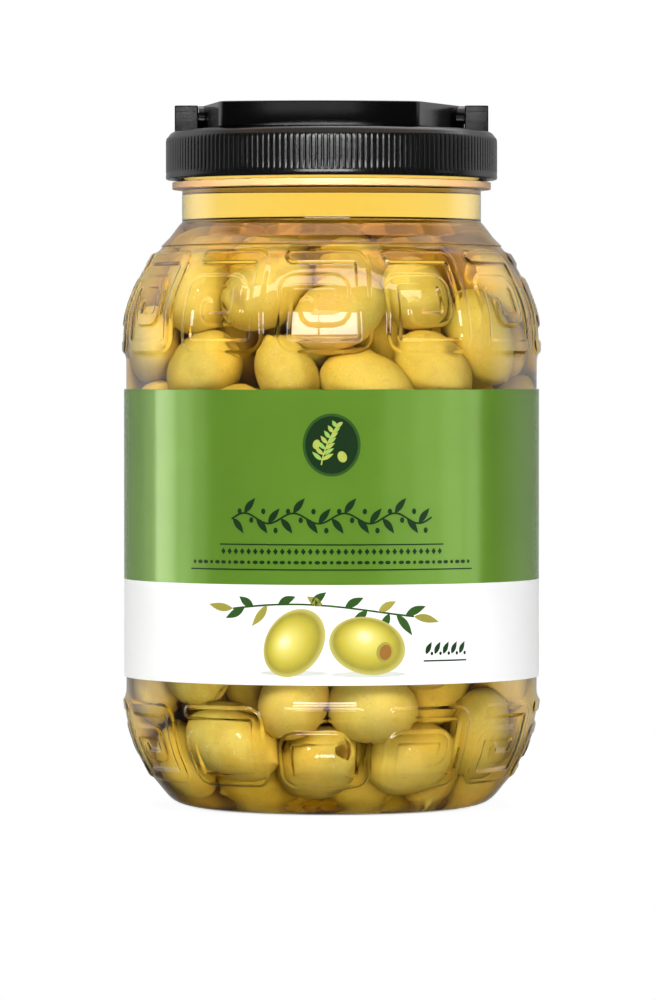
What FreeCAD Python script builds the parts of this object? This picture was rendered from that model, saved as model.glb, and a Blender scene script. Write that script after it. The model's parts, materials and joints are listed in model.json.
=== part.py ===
import FreeCAD, Part
import os
from math import sin, cos, tan, radians, degrees, pi, sqrt, atan2, hypot, asin, acos
from FreeCAD import Vector as V

# Jar of green olives: a clear blow-moulded PET jar with two moulded
# Greek-key bands, a black ribbed screw cap with a folding carry handle, a
# wrap-round label and a filling of brine.  Millimetres, +Z up, origin at the
# centre of the foot ring, on the surface the jar stands on.  -Y is the front.

# ----------------------------------------------------------------- sizes ---
# heights above the surface
Z_PUSH_UP = 5.0          # centre of the domed base
Z_HEEL_TOP = 9.9         # end of the heel cone, start of the lower band
Z_LOWER_BAND_TOP = 38.3
Z_LABEL_BOTTOM = 44.3
Z_LABEL_TOP = 142.2
Z_UPPER_BAND_BOTTOM = 153.2
Z_UPPER_BAND_TOP = 188.4
Z_SHOULDER_BOTTOM = 190.1
Z_NECK_BOTTOM = 200.4
Z_FLANGE_BOTTOM = 210.3
Z_FLANGE_TOP = 212.6
Z_RIM = 227.4            # top of the neck
Z_BRINE = 224.4          # brine level, hidden by the cap
# radii
R_FOOT_IN = 43.6         # flat ring that the jar stands on
R_FOOT_OUT = 46.6
R_HEEL = 60.8
R_PANEL = 70.15          # grooves above and below the label
R_LABEL_LAND = 70.6      # wall behind the label
R_SHOULDER_BOTTOM = 58.4
R_SHOULDER_TOP = 52.0
R_NECK = 51.05
R_FLANGE = 54.4
# walls
WALL = 1.0
WALL_NECK = 2.2
LABEL_THICK = 0.3

# wall radius of the two bands at named heights, without the raised keys
LOWER_BAND = [(Z_HEEL_TOP, 61.2), (14.6, 63.9), (20.0, 66.6), (25.5, 68.5),
              (31.0, 69.8), (Z_LOWER_BAND_TOP - 1.4, 70.6)]
UPPER_BAND = [(Z_UPPER_BAND_BOTTOM + 1.8, 70.7), (160.0, 70.8), (167.8, 70.0),
              (176.0, 67.2), (182.5, 63.9), (Z_UPPER_BAND_TOP, 60.6)]

# Greek keys
KEYS = 12                # round each band
KEY_LEFT = -15.0         # outer edges of a key, degrees from its middle line
KEY_RIGHT = 11.2
BAR = 4.5                # width of a raised bar
RELIEF = 1.1             # height of a raised bar
INNER_RIGHT = 5.1        # outer edge of the inner right bar, degrees
STUB_LEFT = -8.6         # outer edge of the inner left stub, degrees
UPPER_KEY_Z = dict(top=(188.4, 184.0), inner_top=(180.4, 175.9),
                   inner_bottom=(167.8, 163.3), bottom=(158.9, 154.4))
LOWER_KEY_Z = dict(top=(36.8, 32.4), inner_top=(28.9, 24.5),
                   inner_bottom=(21.0, 16.6), bottom=(14.2, 10.2))
CORNER = 3.4             # centre-line radius of a bar's corners
CORNER_STUB = 2.4        # the same where the inner left stub turns up
STUB_UPPER = 4.8         # length of that stub in the upper and lower band
STUB_LOWER = 2.5

# cap
R_CAP = 56.6
RIB_DEPTH = 0.65
RIBS = 176
CAP_BOTTOM = 213.6
RIB_BOTTOM = 215.6
RIB_TOP = 227.6
CAP_PLATE = 230.2        # top of the flat plate
R_PLATE = 52.0           # where the plate turns into the shoulder
CAP_IN = 53.4            # inside of the skirt
PLATE_UNDER = 227.5
# handle and its lugs
LUG_IN, LUG_OUT = 45.5, 53.5
LUG_DEPTH = 8.0
Z_TOP = 238.9            # top of the lugs and of the folded handle
STRAP_GAP = 0.3          # handle above the plate
STRAP_THICK = 3.0
AXIS_Z = 0.5 * (CAP_PLATE + STRAP_GAP + Z_TOP)
GRIP_FRONT = 43.5        # front of the grip, from the hinge line
GRIP_RADIUS = 110.0      # its gentle curve
GRIP_HALF = 33.7         # half its width
GRIP_LEAN = -4.0         # the grip lies this much to one side
KNUCKLE_R = 4.1
PIN_R = 2.0
PIN_CLEAR = 0.06
PIN_LEN = 4.6
HINGE_GAP = 0.3          # knuckle to lug


# --------------------------------------------------------------- helpers ---
def edge_line(a, b):
    return Part.LineSegment(V(a[0], 0, a[1]), V(b[0], 0, b[1])).toShape()


def edge_spline(points, start=None, end=None):
    curve = Part.BSplineCurve()
    pts = [V(r, 0, z) for r, z in points]
    if start and end:
        curve.interpolate(Points=pts, InitialTangent=V(start[0], 0, start[1]),
                          FinalTangent=V(end[0], 0, end[1]))
    else:
        curve.interpolate(Points=pts)
    return curve.toShape()


def edge_arc(a, mid, b):
    return Part.Arc(V(a[0], 0, a[1]), V(mid[0], 0, mid[1]),
                    V(b[0], 0, b[1])).toShape()


def revolve(edges, angle=360.0):
    wire = Part.Wire(edges)
    face = Part.Face(wire)
    return face.revolve(V(0, 0, 0), V(0, 0, 1), angle)


def band_points(band, inset):
    """Stations of a band's wall as (r, z), moved inwards along the normal."""
    out = []
    n = len(band)
    for i, (z, r) in enumerate(band):
        z0, r0 = band[max(0, i - 1)]
        z1, r1 = band[min(n - 1, i + 1)]
        tr, tz = r1 - r0, z1 - z0
        l = hypot(tr, tz)
        out.append((r - inset * tz / l, z + inset * tr / l))
    return out


def band_radius(band, z):
    """Wall radius at a height, between the stations of a band."""
    if z <= band[0][0]:
        return band[0][1]
    for (z0, r0), (z1, r1) in zip(band[:-1], band[1:]):
        if z <= z1:
            return r0 + (r1 - r0) * (z - z0) / (z1 - z0)
    return band[-1][1]


# ------------------------------------------------------------------- jar ---
def outer_edges():
    """Outside of the jar from the middle of the base to the rim."""
    low = band_points(LOWER_BAND, 0.0)
    up = band_points(UPPER_BAND, 0.0)
    heel_a = (R_FOOT_OUT, 0.0)
    heel_m = (54.6, 2.3)
    heel_b = (57.6, 5.6)
    e = []
    e.append(edge_arc((0.0, Z_PUSH_UP), (25.0, 3.9), (R_FOOT_IN, 0.0)))
    e.append(edge_line((R_FOOT_IN, 0.0), heel_a))
    e.append(edge_spline([heel_a, (51.4, 0.65), heel_m, heel_b, (R_HEEL, 9.3)],
                         (1, 0), (0.62, 0.78)))
    e.append(edge_line((R_HEEL, 9.3), low[0]))
    e.append(edge_spline(low))
    groove_a = (R_PANEL, Z_LOWER_BAND_TOP)
    e.append(edge_line(low[-1], groove_a))
    land_a = (R_PANEL, Z_LABEL_BOTTOM - 1.6)
    land_b = (R_LABEL_LAND, Z_LABEL_BOTTOM - 0.9)
    land_c = (R_LABEL_LAND, Z_LABEL_TOP + 0.6)
    land_d = (R_PANEL, Z_LABEL_TOP + 1.3)
    groove_b = (R_PANEL, Z_UPPER_BAND_BOTTOM)
    e.append(edge_line(groove_a, land_a))
    e.append(edge_line(land_a, land_b))
    e.append(edge_line(land_b, land_c))
    e.append(edge_line(land_c, land_d))
    e.append(edge_line(land_d, groove_b))
    e.append(edge_line(groove_b, up[0]))
    e.append(edge_spline(up))
    ledge = (R_SHOULDER_BOTTOM, Z_SHOULDER_BOTTOM)
    top = (R_SHOULDER_TOP, Z_NECK_BOTTOM - 1.9)
    neck = (R_NECK, Z_NECK_BOTTOM)
    e.append(edge_line(up[-1], ledge))
    e.append(edge_line(ledge, top))
    e.append(edge_line(top, neck))
    e.append(edge_line(neck, (R_NECK, Z_FLANGE_BOTTOM)))
    e.append(edge_line((R_NECK, Z_FLANGE_BOTTOM), (R_FLANGE, Z_FLANGE_BOTTOM)))
    e.append(edge_line((R_FLANGE, Z_FLANGE_BOTTOM), (R_FLANGE, Z_FLANGE_TOP)))
    e.append(edge_line((R_FLANGE, Z_FLANGE_TOP), (R_NECK, Z_FLANGE_TOP)))
    e.append(edge_line((R_NECK, Z_FLANGE_TOP), (R_NECK, Z_RIM)))
    return e, (R_NECK, Z_RIM)


def inner_edges(top_z):
    """Inside of the jar from the middle of the base up to a height."""
    w = WALL
    low = band_points(LOWER_BAND, w)
    up = band_points(UPPER_BAND, w)
    rn = R_NECK - WALL_NECK
    e = []
    a = (R_FOOT_IN - 1.2, 1.6)
    b = (R_FOOT_OUT + 0.6, 1.4)
    e.append(edge_arc((0.0, Z_PUSH_UP + 1.5), (24.4, 5.4), a))
    e.append(edge_line(a, b))
    e.append(edge_spline([b, (51.0, 1.9), (53.9, 3.3), (56.7, 6.2),
                          (R_HEEL - 1.0, 9.9)], (1, 0), (0.62, 0.78)))
    e.append(edge_line((R_HEEL - 1.0, 9.9), low[0]))
    e.append(edge_spline(low))
    p = (R_PANEL - w, Z_LOWER_BAND_TOP)
    q = (R_PANEL - w, Z_UPPER_BAND_BOTTOM)
    e.append(edge_line(low[-1], p))
    e.append(edge_line(p, q))
    e.append(edge_line(q, up[0]))
    e.append(edge_spline(up))
    ledge = (R_SHOULDER_BOTTOM - w, Z_SHOULDER_BOTTOM - 0.5)
    top = (R_SHOULDER_TOP - 1.6, Z_NECK_BOTTOM - 2.6)
    neck = (rn, Z_NECK_BOTTOM + 1.0)
    e.append(edge_line(up[-1], ledge))
    e.append(edge_line(ledge, top))
    e.append(edge_line(top, neck))
    e.append(edge_line(neck, (rn, top_z)))
    return e, (rn, top_z)


def solid_of(edges, end):
    closed = list(edges)
    closed.append(edge_line(end, (0.0, end[1])))
    start = edges[0].valueAt(edges[0].FirstParameter)
    closed.append(edge_line((0.0, end[1]), (0.0, start.z)))
    return revolve(closed)


def stroke(path, width, first, last):
    """Closed wire in the XZ plane: a bar of this width along a polyline,
    with rounded corners and rounded ends."""
    h = width / 2.0
    pts = [V(x, 0, z) for x, z in path]
    segs = []
    for a, b in zip(pts[:-1], pts[1:]):
        d = b.sub(a)
        d.normalize()
        segs.append((a, b, d))
    left, right = [], []

    def off(p, d, s):
        return p.add(V(-d.z, 0, d.x).multiply(s * h))
    prev_l = off(pts[0], segs[0][2], 1)
    prev_r = off(pts[0], segs[0][2], -1)
    start_l, start_r = prev_l, prev_r
    for i in range(1, len(pts) - 1):
        d0, d1 = segs[i - 1][2], segs[i][2]
        p = pts[i]
        corner = last if i == len(pts) - 2 else first
        turn = d0.x * d1.z - d0.z * d1.x
        ang = acos(max(-1, min(1, d0.dot(d1))))
        t = corner * tan(ang / 2)
        a = p.sub(V(d0).multiply(t))
        b = p.add(V(d1).multiply(t))
        s = 1 if turn > 0 else -1
        n0 = V(-d0.z, 0, d0.x)
        c = a.add(V(n0).multiply(s * corner))
        bis = p.sub(c)
        bis.normalize()
        for side, store in ((1, left), (-1, right)):
            rad = corner - side * s * h
            qa = off(a, d0, side)
            qb = off(b, d1, side)
            qm = c.add(V(bis).multiply(rad))
            prev = prev_l if side == 1 else prev_r
            store.append(Part.LineSegment(prev, qa).toShape())
            store.append(Part.Arc(qa, qm, qb).toShape())
            if side == 1:
                prev_l = qb
            else:
                prev_r = qb
    dn = segs[-1][2]
    end_l, end_r = off(pts[-1], dn, 1), off(pts[-1], dn, -1)
    left.append(Part.LineSegment(prev_l, end_l).toShape())
    right.append(Part.LineSegment(prev_r, end_r).toShape())
    tip = pts[-1].add(V(dn).multiply(h * 0.9))
    tail = pts[0].sub(V(segs[0][2]).multiply(h * 0.9))
    cap_end = Part.Arc(end_l, tip, end_r).toShape()
    cap_start = Part.Arc(start_r, tail, start_l).toShape()
    edges = left + [cap_end] + right[::-1] + [cap_start]
    return Part.Wire(Part.__sortEdges__(edges))


def key_path(band, zs, stub):
    """Centre line of one square spiral, inwards from its top left end."""
    h = BAR / 2.0
    zt = sum(zs["top"]) / 2
    zit = sum(zs["inner_top"]) / 2
    zib = sum(zs["inner_bottom"]) / 2
    zb = sum(zs["bottom"]) / 2

    def x(deg_edge, z, side):
        return band_radius(band, z) * sin(radians(deg_edge)) + side * h
    stub_top = zib + stub
    return [(x(KEY_LEFT, zt, 1) + 1.0, zt), (x(KEY_RIGHT, zt, -1), zt),
            (x(KEY_RIGHT, zb, -1), zb), (x(KEY_LEFT, zb, 1), zb),
            (x(KEY_LEFT, zit, 1), zit), (x(INNER_RIGHT, zit, -1), zit),
            (x(INNER_RIGHT, zib, -1), zib), (x(STUB_LEFT, zib, 1), zib),
            (x(STUB_LEFT, stub_top, 1), stub_top)]


def key_solids(band, zs, stub):
    """The raised keys of one band, each a spiral cut out of a thin ring."""
    skin = 0.45
    low = [(r - skin, z) for r, z in band_points(band, 0.0)]
    high = [(r + RELIEF, z) for r, z in band_points(band, 0.0)]
    e = [edge_spline(low), edge_line(low[-1], high[-1]),
         edge_spline(high), edge_line(high[0], low[0])]
    ring = Part.Face(Part.Wire(e)).revolve(V(0, 0, 0), V(0, 0, 1), 44.0)
    ring.rotate(V(0, 0, 0), V(0, 0, 1), -90.0 - 22.0)
    face = Part.Face(stroke(key_path(band, zs, stub), BAR, CORNER, CORNER_STUB))
    if not face.isValid():
        print("key outline is not valid")
    face.translate(V(0, -90, 0))
    prism = face.extrude(V(0, 50, 0))
    key = prism.common(ring)
    out = []
    for s in key.Solids:
        for k in range(KEYS):
            c = s.copy()
            c.rotate(V(0, 0, 0), V(0, 0, 1), k * 360.0 / KEYS)
            out.append(c)
    return out


def make_jar():
    oe, oend = outer_edges()
    body = solid_of(oe, oend)
    ie, iend = inner_edges(Z_RIM + 2.0)
    cavity = solid_of(ie, iend)
    keys = key_solids(LOWER_BAND, LOWER_KEY_Z, STUB_LOWER)
    keys += key_solids(UPPER_BAND, UPPER_KEY_Z, STUB_UPPER)
    body = body.fuse(keys)
    jar = body.cut(cavity)
    return jar


def make_brine():
    ie, iend = inner_edges(Z_BRINE)
    return solid_of(ie, iend)


def make_label():
    outer = Part.makeCylinder(R_LABEL_LAND + LABEL_THICK,
                              Z_LABEL_TOP - Z_LABEL_BOTTOM,
                              V(0, 0, Z_LABEL_BOTTOM))
    inner = Part.makeCylinder(R_LABEL_LAND, Z_LABEL_TOP - Z_LABEL_BOTTOM + 2,
                              V(0, 0, Z_LABEL_BOTTOM - 1))
    return outer.cut(inner)


# ------------------------------------------------------------------- cap ---
def make_cap():
    core_r = R_CAP - RIB_DEPTH
    e = []
    a = (0.0, CAP_PLATE)
    b = (R_PLATE, CAP_PLATE)
    c = (core_r, RIB_TOP - 0.2)
    e.append(edge_line(a, b))
    e.append(edge_arc(b, (R_PLATE + 2.9, CAP_PLATE - 0.85), c))
    e.append(edge_line(c, (core_r, RIB_BOTTOM)))
    e.append(edge_line((core_r, RIB_BOTTOM), (R_CAP, RIB_BOTTOM)))
    e.append(edge_line((R_CAP, RIB_BOTTOM), (R_CAP, CAP_BOTTOM + 0.4)))
    e.append(edge_line((R_CAP, CAP_BOTTOM + 0.4), (R_CAP - 0.4, CAP_BOTTOM)))
    e.append(edge_line((R_CAP - 0.4, CAP_BOTTOM), (CAP_IN, CAP_BOTTOM)))
    e.append(edge_line((CAP_IN, CAP_BOTTOM), (CAP_IN, PLATE_UNDER)))
    e.append(edge_line((CAP_IN, PLATE_UNDER), (0.0, PLATE_UNDER)))
    e.append(edge_line((0.0, PLATE_UNDER), a))
    core = revolve(e)
    # ribs: a toothed ring under a rounded top
    pts = []
    step = 2 * pi / RIBS
    for i in range(RIBS):
        t = i * step
        for f, r in ((-0.42, core_r - 0.5), (-0.15, R_CAP), (0.15, R_CAP),
                     (0.42, core_r - 0.5)):
            pts.append(V(r * cos(t + f * step), r * sin(t + f * step), RIB_BOTTOM))
    pts.append(pts[0])
    teeth = Part.Face(Part.makePolygon(pts)).extrude(V(0, 0, RIB_TOP - RIB_BOTTOM))
    bore = Part.makeCylinder(core_r - 1.2, RIB_TOP - RIB_BOTTOM + 2,
                             V(0, 0, RIB_BOTTOM - 1))
    ring = teeth.cut(bore)
    env = revolve([edge_line((0.0, RIB_BOTTOM), (R_CAP + 1, RIB_BOTTOM)),
                   edge_line((R_CAP + 1, RIB_BOTTOM), (R_CAP + 1, RIB_TOP - 2.0)),
                   edge_line((R_CAP + 1, RIB_TOP - 2.0), (core_r - 0.3, RIB_TOP + 0.3)),
                   edge_line((core_r - 0.3, RIB_TOP + 0.3), (0.0, RIB_TOP + 0.3)),
                   edge_line((0.0, RIB_TOP + 0.3), (0.0, RIB_BOTTOM))])
    ring = ring.common(env)
    cap = core.fuse(ring)
    # lugs with blind holes for the handle's pins
    for s in (-1, 1):
        lug = Part.makeBox(LUG_OUT - LUG_IN, LUG_DEPTH, Z_TOP - CAP_PLATE + 0.6,
                           V(LUG_IN if s > 0 else -LUG_OUT, -LUG_DEPTH / 2,
                             CAP_PLATE - 0.6))
        lug = lug.makeFillet(0.5, [ed for ed in lug.Edges
                                   if abs(ed.tangentAt(ed.FirstParameter).z) > 0.9
                                   or min(v.Z for v in ed.Vertexes) > Z_TOP - 0.01])
        cap = cap.fuse(lug)
    for s in (-1, 1):
        hole = Part.makeCylinder(PIN_R + PIN_CLEAR, HINGE_GAP + PIN_LEN + 0.4,
                                 V(s * (LUG_IN - HINGE_GAP), 0, AXIS_Z),
                                 V(s, 0, 0))
        cap = cap.cut(hole)
    return cap


def make_handle():
    # plan of the strap: a gently curved grip and two converging arms
    lean = GRIP_LEAN
    sag = GRIP_RADIUS - sqrt(GRIP_RADIUS ** 2 - GRIP_HALF ** 2)
    z0 = CAP_PLATE + STRAP_GAP
    hgt = Z_TOP - z0
    knuckle_x = LUG_IN - HINGE_GAP
    arm_x = knuckle_x - 1.2

    def outline(inset):
        yc = -(GRIP_FRONT - inset)
        rad = GRIP_RADIUS - inset
        xl = lean - GRIP_HALF + inset
        xr = lean + GRIP_HALF - inset
        yl = -(GRIP_FRONT - sag) + inset
        return [V(-(arm_x - inset), 0.6, 0), V(xl, yl, 0), V(lean, yc, 0),
                V(xr, yl, 0), V(arm_x - inset, 0.6, 0)]
    o = outline(0.0)
    i = outline(STRAP_THICK)
    wire = Part.Wire([Part.LineSegment(o[0], o[1]).toShape(),
                      Part.Arc(o[1], o[2], o[3]).toShape(),
                      Part.LineSegment(o[3], o[4]).toShape(),
                      Part.LineSegment(o[4], i[4]).toShape(),
                      Part.LineSegment(i[4], i[3]).toShape(),
                      Part.Arc(i[3], i[2], i[1]).toShape(),
                      Part.LineSegment(i[1], i[0]).toShape(),
                      Part.LineSegment(i[0], o[0]).toShape()])
    strap = Part.Face(wire).extrude(V(0, 0, hgt))
    strap.translate(V(0, 0, z0))
    # round the two grip corners, outside and inside
    sel = []
    for ed in strap.Edges:
        if abs(ed.tangentAt(ed.FirstParameter).z) > 0.99:
            p = ed.Vertexes[0].Point
            if hypot(p.x - o[1].x, p.y - o[1].y) < 0.1 or \
               hypot(p.x - o[3].x, p.y - o[3].y) < 0.1:
                sel.append(ed)
    strap = strap.makeFillet(4.0, sel)
    sel = []
    for ed in strap.Edges:
        if abs(ed.tangentAt(ed.FirstParameter).z) > 0.99:
            p = ed.Vertexes[0].Point
            if hypot(p.x - i[1].x, p.y - i[1].y) < 0.1 or \
               hypot(p.x - i[3].x, p.y - i[3].y) < 0.1:
                sel.append(ed)
    strap = strap.makeFillet(2.0, sel)
    # keep the arms' ends inside the knuckles
    trim = Part.makeBox(120, 10, 30, V(-60, 0, z0 - 5))
    strap = strap.cut(trim)
    shape = strap
    for s in (-1, 1):
        k = Part.makeCylinder(KNUCKLE_R, 4.4, V(s * (knuckle_x - 4.4), 0, AXIS_Z),
                              V(s, 0, 0))
        pin = Part.makeCylinder(PIN_R, PIN_LEN + 1.0,
                                V(s * (knuckle_x - 1.0), 0, AXIS_Z), V(s, 0, 0))
        shape = shape.fuse(k).fuse(pin)
    return shape.removeSplitter()


# ---------------------------------------------------------------- export ---
PARTS = {"jar": make_jar, "brine": make_brine, "label": make_label,
         "cap": make_cap, "handle": make_handle}

os.makedirs("parts", exist_ok=True)
for name, build in PARTS.items():
    shape = build()
    solids = shape.Solids
    if len(solids) == 1:
        shape = solids[0]
    bb = shape.BoundBox
    print("%-8s solids %d faces %d valid %s volume %.1f cm3 box %.2f %.2f %.2f .. %.2f %.2f %.2f"
          % (name, len(solids), len(shape.Faces), shape.isValid(), shape.Volume / 1000.0,
             bb.XMin, bb.YMin, bb.ZMin, bb.XMax, bb.YMax, bb.ZMax))
    shape.exportStep("parts/%s.step" % name)
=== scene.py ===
import bpy, bmesh, json, math
import numpy as np
from mathutils import Vector, Matrix, geometry

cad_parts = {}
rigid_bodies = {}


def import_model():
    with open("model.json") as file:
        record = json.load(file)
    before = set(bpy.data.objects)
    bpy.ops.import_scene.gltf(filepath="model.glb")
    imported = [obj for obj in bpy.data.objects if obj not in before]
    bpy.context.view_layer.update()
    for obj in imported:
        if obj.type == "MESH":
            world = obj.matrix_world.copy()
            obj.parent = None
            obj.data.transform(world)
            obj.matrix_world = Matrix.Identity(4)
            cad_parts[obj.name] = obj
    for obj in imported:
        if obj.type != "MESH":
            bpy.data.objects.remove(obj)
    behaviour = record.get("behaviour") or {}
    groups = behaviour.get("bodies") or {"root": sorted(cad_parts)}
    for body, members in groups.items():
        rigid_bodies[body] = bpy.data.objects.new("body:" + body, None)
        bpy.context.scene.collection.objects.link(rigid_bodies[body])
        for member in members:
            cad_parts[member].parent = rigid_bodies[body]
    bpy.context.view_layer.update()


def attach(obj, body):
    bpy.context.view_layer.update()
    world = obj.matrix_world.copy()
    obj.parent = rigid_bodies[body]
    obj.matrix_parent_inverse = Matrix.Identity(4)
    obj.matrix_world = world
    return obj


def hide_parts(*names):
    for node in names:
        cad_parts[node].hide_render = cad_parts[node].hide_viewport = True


# Jar of green olives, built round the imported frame. Lengths below are in
# millimetres and become metres in make_mesh().
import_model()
scene = bpy.context.scene
MM = 0.001
rng = np.random.default_rng(20261123)


# ---------------------------------------------------------------- helpers --
def make_mesh(name, verts, faces, normals=None, smooth=True, mats=(), face_mat=None):
    me = bpy.data.meshes.new(name)
    v = np.asarray(verts, float) * MM
    me.from_pydata(v.tolist(), [], [tuple(int(i) for i in f) for f in faces])
    me.update()
    if smooth:
        me.polygons.foreach_set("use_smooth", np.ones(len(me.polygons), bool))
    for m in mats:
        me.materials.append(m)
    if face_mat is not None:
        me.polygons.foreach_set("material_index", np.asarray(face_mat, np.int32))
    me.validate()
    if normals is not None:
        n = np.asarray(normals, float)
        n /= np.maximum(np.linalg.norm(n, axis=1, keepdims=True), 1e-12)
        me.normals_split_custom_set_from_vertices(n.tolist())
    me.update()
    ob = bpy.data.objects.new(name, me)
    scene.collection.objects.link(ob)
    return ob


def point_attr(ob, name, values):
    a = ob.data.attributes.new(name, "FLOAT", "POINT")
    a.data.foreach_set("value", np.asarray(values, np.float32))


def smoothstep(x):
    x = np.clip(x, 0, 1)
    return x * x * (3 - 2 * x)


class Mat:
    """A node material with short ways to add nodes."""

    def __init__(self, name):
        self.m = bpy.data.materials.new(name)
        self.m.use_nodes = True
        self.nt = self.m.node_tree
        self.nt.nodes.clear()
        self.out = self.nt.nodes.new("ShaderNodeOutputMaterial")

    def node(self, kind, **values):
        n = self.nt.nodes.new(kind)
        for k, v in values.items():
            if hasattr(n, k):
                setattr(n, k, v)
        return n

    def link(self, a, b):
        self.nt.links.new(a, b)

    def bsdf(self, **inputs):
        b = self.node("ShaderNodeBsdfPrincipled")
        for k, v in inputs.items():
            b.inputs[k.replace("_", " ")].default_value = v
        return b

    def coords(self, scale=1.0, kind="Object"):
        t = self.node("ShaderNodeTexCoord")
        m = self.node("ShaderNodeMapping")
        m.inputs["Scale"].default_value = (scale, scale, scale)
        self.link(t.outputs[kind], m.inputs["Vector"])
        return m.outputs["Vector"]

    def noise(self, vec, scale, detail=4.0, rough=0.5, distortion=0.0):
        n = self.node("ShaderNodeTexNoise")
        n.inputs["Scale"].default_value = scale
        n.inputs["Detail"].default_value = detail
        n.inputs["Roughness"].default_value = rough
        n.inputs["Distortion"].default_value = distortion
        self.link(vec, n.inputs["Vector"])
        return n.outputs["Fac"]

    def ramp(self, fac, stops, interp="LINEAR"):
        r = self.node("ShaderNodeValToRGB")
        r.color_ramp.interpolation = interp
        els = r.color_ramp.elements
        while len(els) < len(stops):
            els.new(0.5)
        for e, (p, c) in zip(els, stops):
            e.position = p
            e.color = tuple(c) + (1.0,) if len(c) == 3 else c
        self.link(fac, r.inputs["Fac"])
        return r.outputs["Color"]

    def mix(self, fac, a, b, blend="MIX"):
        n = self.node("ShaderNodeMix")
        n.data_type = "RGBA"
        n.blend_type = blend
        for sock, v in ((n.inputs[0], fac), (n.inputs[6], a), (n.inputs[7], b)):
            if hasattr(v, "is_output"):
                self.link(v, sock)
            elif isinstance(v, (int, float)):
                sock.default_value = v
            else:
                sock.default_value = tuple(v) + (1.0,) if len(v) == 3 else v
        return n.outputs[2]

    def math(self, op, a, b=0.0, c=0.0, clamp=False):
        n = self.node("ShaderNodeMath")
        n.operation = op
        n.use_clamp = clamp
        for sock, v in zip(n.inputs, (a, b, c)):
            if hasattr(v, "is_output"):
                self.link(v, sock)
            else:
                sock.default_value = v
        return n.outputs[0]

    def bump(self, height, strength=0.3, distance=0.0005):
        b = self.node("ShaderNodeBump")
        b.inputs["Strength"].default_value = strength
        b.inputs["Distance"].default_value = distance
        self.link(height, b.inputs["Height"])
        return b.outputs["Normal"]


def clear_material(name, ior, roughness, tint, shadow_tint, volume=None, shine=1.0):
    """Clear dielectric that lamps shine through. Where two clear pieces touch
    the mirror part is weakened by shine, as their indices nearly match."""
    m = Mat(name)
    b = m.bsdf(Base_Color=tint + (1.0,), Roughness=roughness, IOR=ior)
    b.inputs["Transmission Weight"].default_value = 1.0
    b.inputs["Specular Tint"].default_value = (shine, shine, shine, 1.0)
    t = m.node("ShaderNodeBsdfTransparent")
    t.inputs["Color"].default_value = shadow_tint + (1.0,)
    lp = m.node("ShaderNodeLightPath")
    mix = m.node("ShaderNodeMixShader")
    m.link(lp.outputs["Is Shadow Ray"], mix.inputs[0])
    m.link(b.outputs[0], mix.inputs[1])
    m.link(t.outputs[0], mix.inputs[2])
    m.link(mix.outputs[0], m.out.inputs["Surface"])
    if volume:
        v = m.node("ShaderNodeVolumeAbsorption")
        v.inputs["Color"].default_value = volume[0] + (1.0,)
        v.inputs["Density"].default_value = volume[1]
        m.link(v.outputs[0], m.out.inputs["Volume"])
    return m.m


# -------------------------------------------------------- the jar's shape --
COLS = 288                       # columns round the jar
KEYS = 12
CELL0, CELL1 = -17.0, 13.0       # one key's share of the band, degrees
KEY_LEFT, KEY_RIGHT = -15.0, 11.2
INNER_RIGHT, STUB_LEFT = 5.1, -8.6
BAR = 4.5
RELIEF = 0.82
R_LABEL = 70.9
Z_LABEL = (44.3, 142.2)
R_NECK_IN = 48.85
Z_BRINE = 224.4

OUTER = [(0, 5.0), (10, 4.9), (20, 4.35), (30, 3.3), (38, 1.8), (42, 0.6), (43.9, 0.0),
         (46.6, 0.0), (49, 0.14), (51.4, 0.65), (53.2, 1.35), (54.8, 2.4), (56.4, 3.9),
         (58.0, 5.9), (60.8, 9.3), (61.2, 9.9), (63.9, 14.6), (66.6, 20.0), (68.5, 25.5),
         (69.8, 31.0), (70.6, 36.9), (70.6, 37.7), (70.15, 38.5), (70.15, 45.6),
         (70.6, 46.4), (70.6, 140.6), (70.15, 141.4), (70.15, 153.0), (70.7, 154.2),
         (70.75, 157.0), (70.8, 160.0), (70.5, 164.0), (70.0, 167.8), (68.8, 171.9),
         (67.2, 176.0), (65.2, 180.0), (63.9, 182.5), (60.6, 188.0), (58.2, 190.0),
         (55.3, 194.1), (52.2, 198.3), (51.05, 200.2), (51.05, 204.0)]


def resample(points, ds=0.1, sigma=0.45):
    p = np.asarray(points, float)
    seg = np.hypot(*(p[1:] - p[:-1]).T)
    s = np.concatenate([[0], np.cumsum(seg)])
    n = int(s[-1] / ds)
    t = np.linspace(0, s[-1], n)
    q = np.stack([np.interp(t, s, p[:, 0]), np.interp(t, s, p[:, 1])], 1)
    k = int(4 * sigma / ds)
    if k > 0:
        g = np.exp(-0.5 * (np.arange(-k, k + 1) * ds / sigma) ** 2)
        g /= g.sum()
        pad_a = 2 * q[0] - q[k:0:-1]
        pad_b = 2 * q[-1] - q[-2:-k - 2:-1]
        e = np.vstack([pad_a, q, pad_b])
        q = np.stack([np.convolve(e[:, i], g, "valid") for i in (0, 1)], 1)
    d = np.gradient(q, axis=0)
    d /= np.linalg.norm(d, axis=1, keepdims=True)
    nrm = np.stack([d[:, 1], -d[:, 0]], 1)       # outward for a line going up
    return q, nrm


prof, prof_n = resample(OUTER, 0.1, 0.55)
i_mono = int(np.argmax(prof[:, 1] > 6.0))


def base_at(z):
    """Radius and normal of the plain wall at a height (above the heel)."""
    zz = prof[i_mono:, 1]
    r = np.interp(z, zz, prof[i_mono:, 0])
    nr = np.interp(z, zz, prof_n[i_mono:, 0])
    nz = np.interp(z, zz, prof_n[i_mono:, 1])
    l = np.hypot(nr, nz)
    return r, nr / l, nz / l


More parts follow.
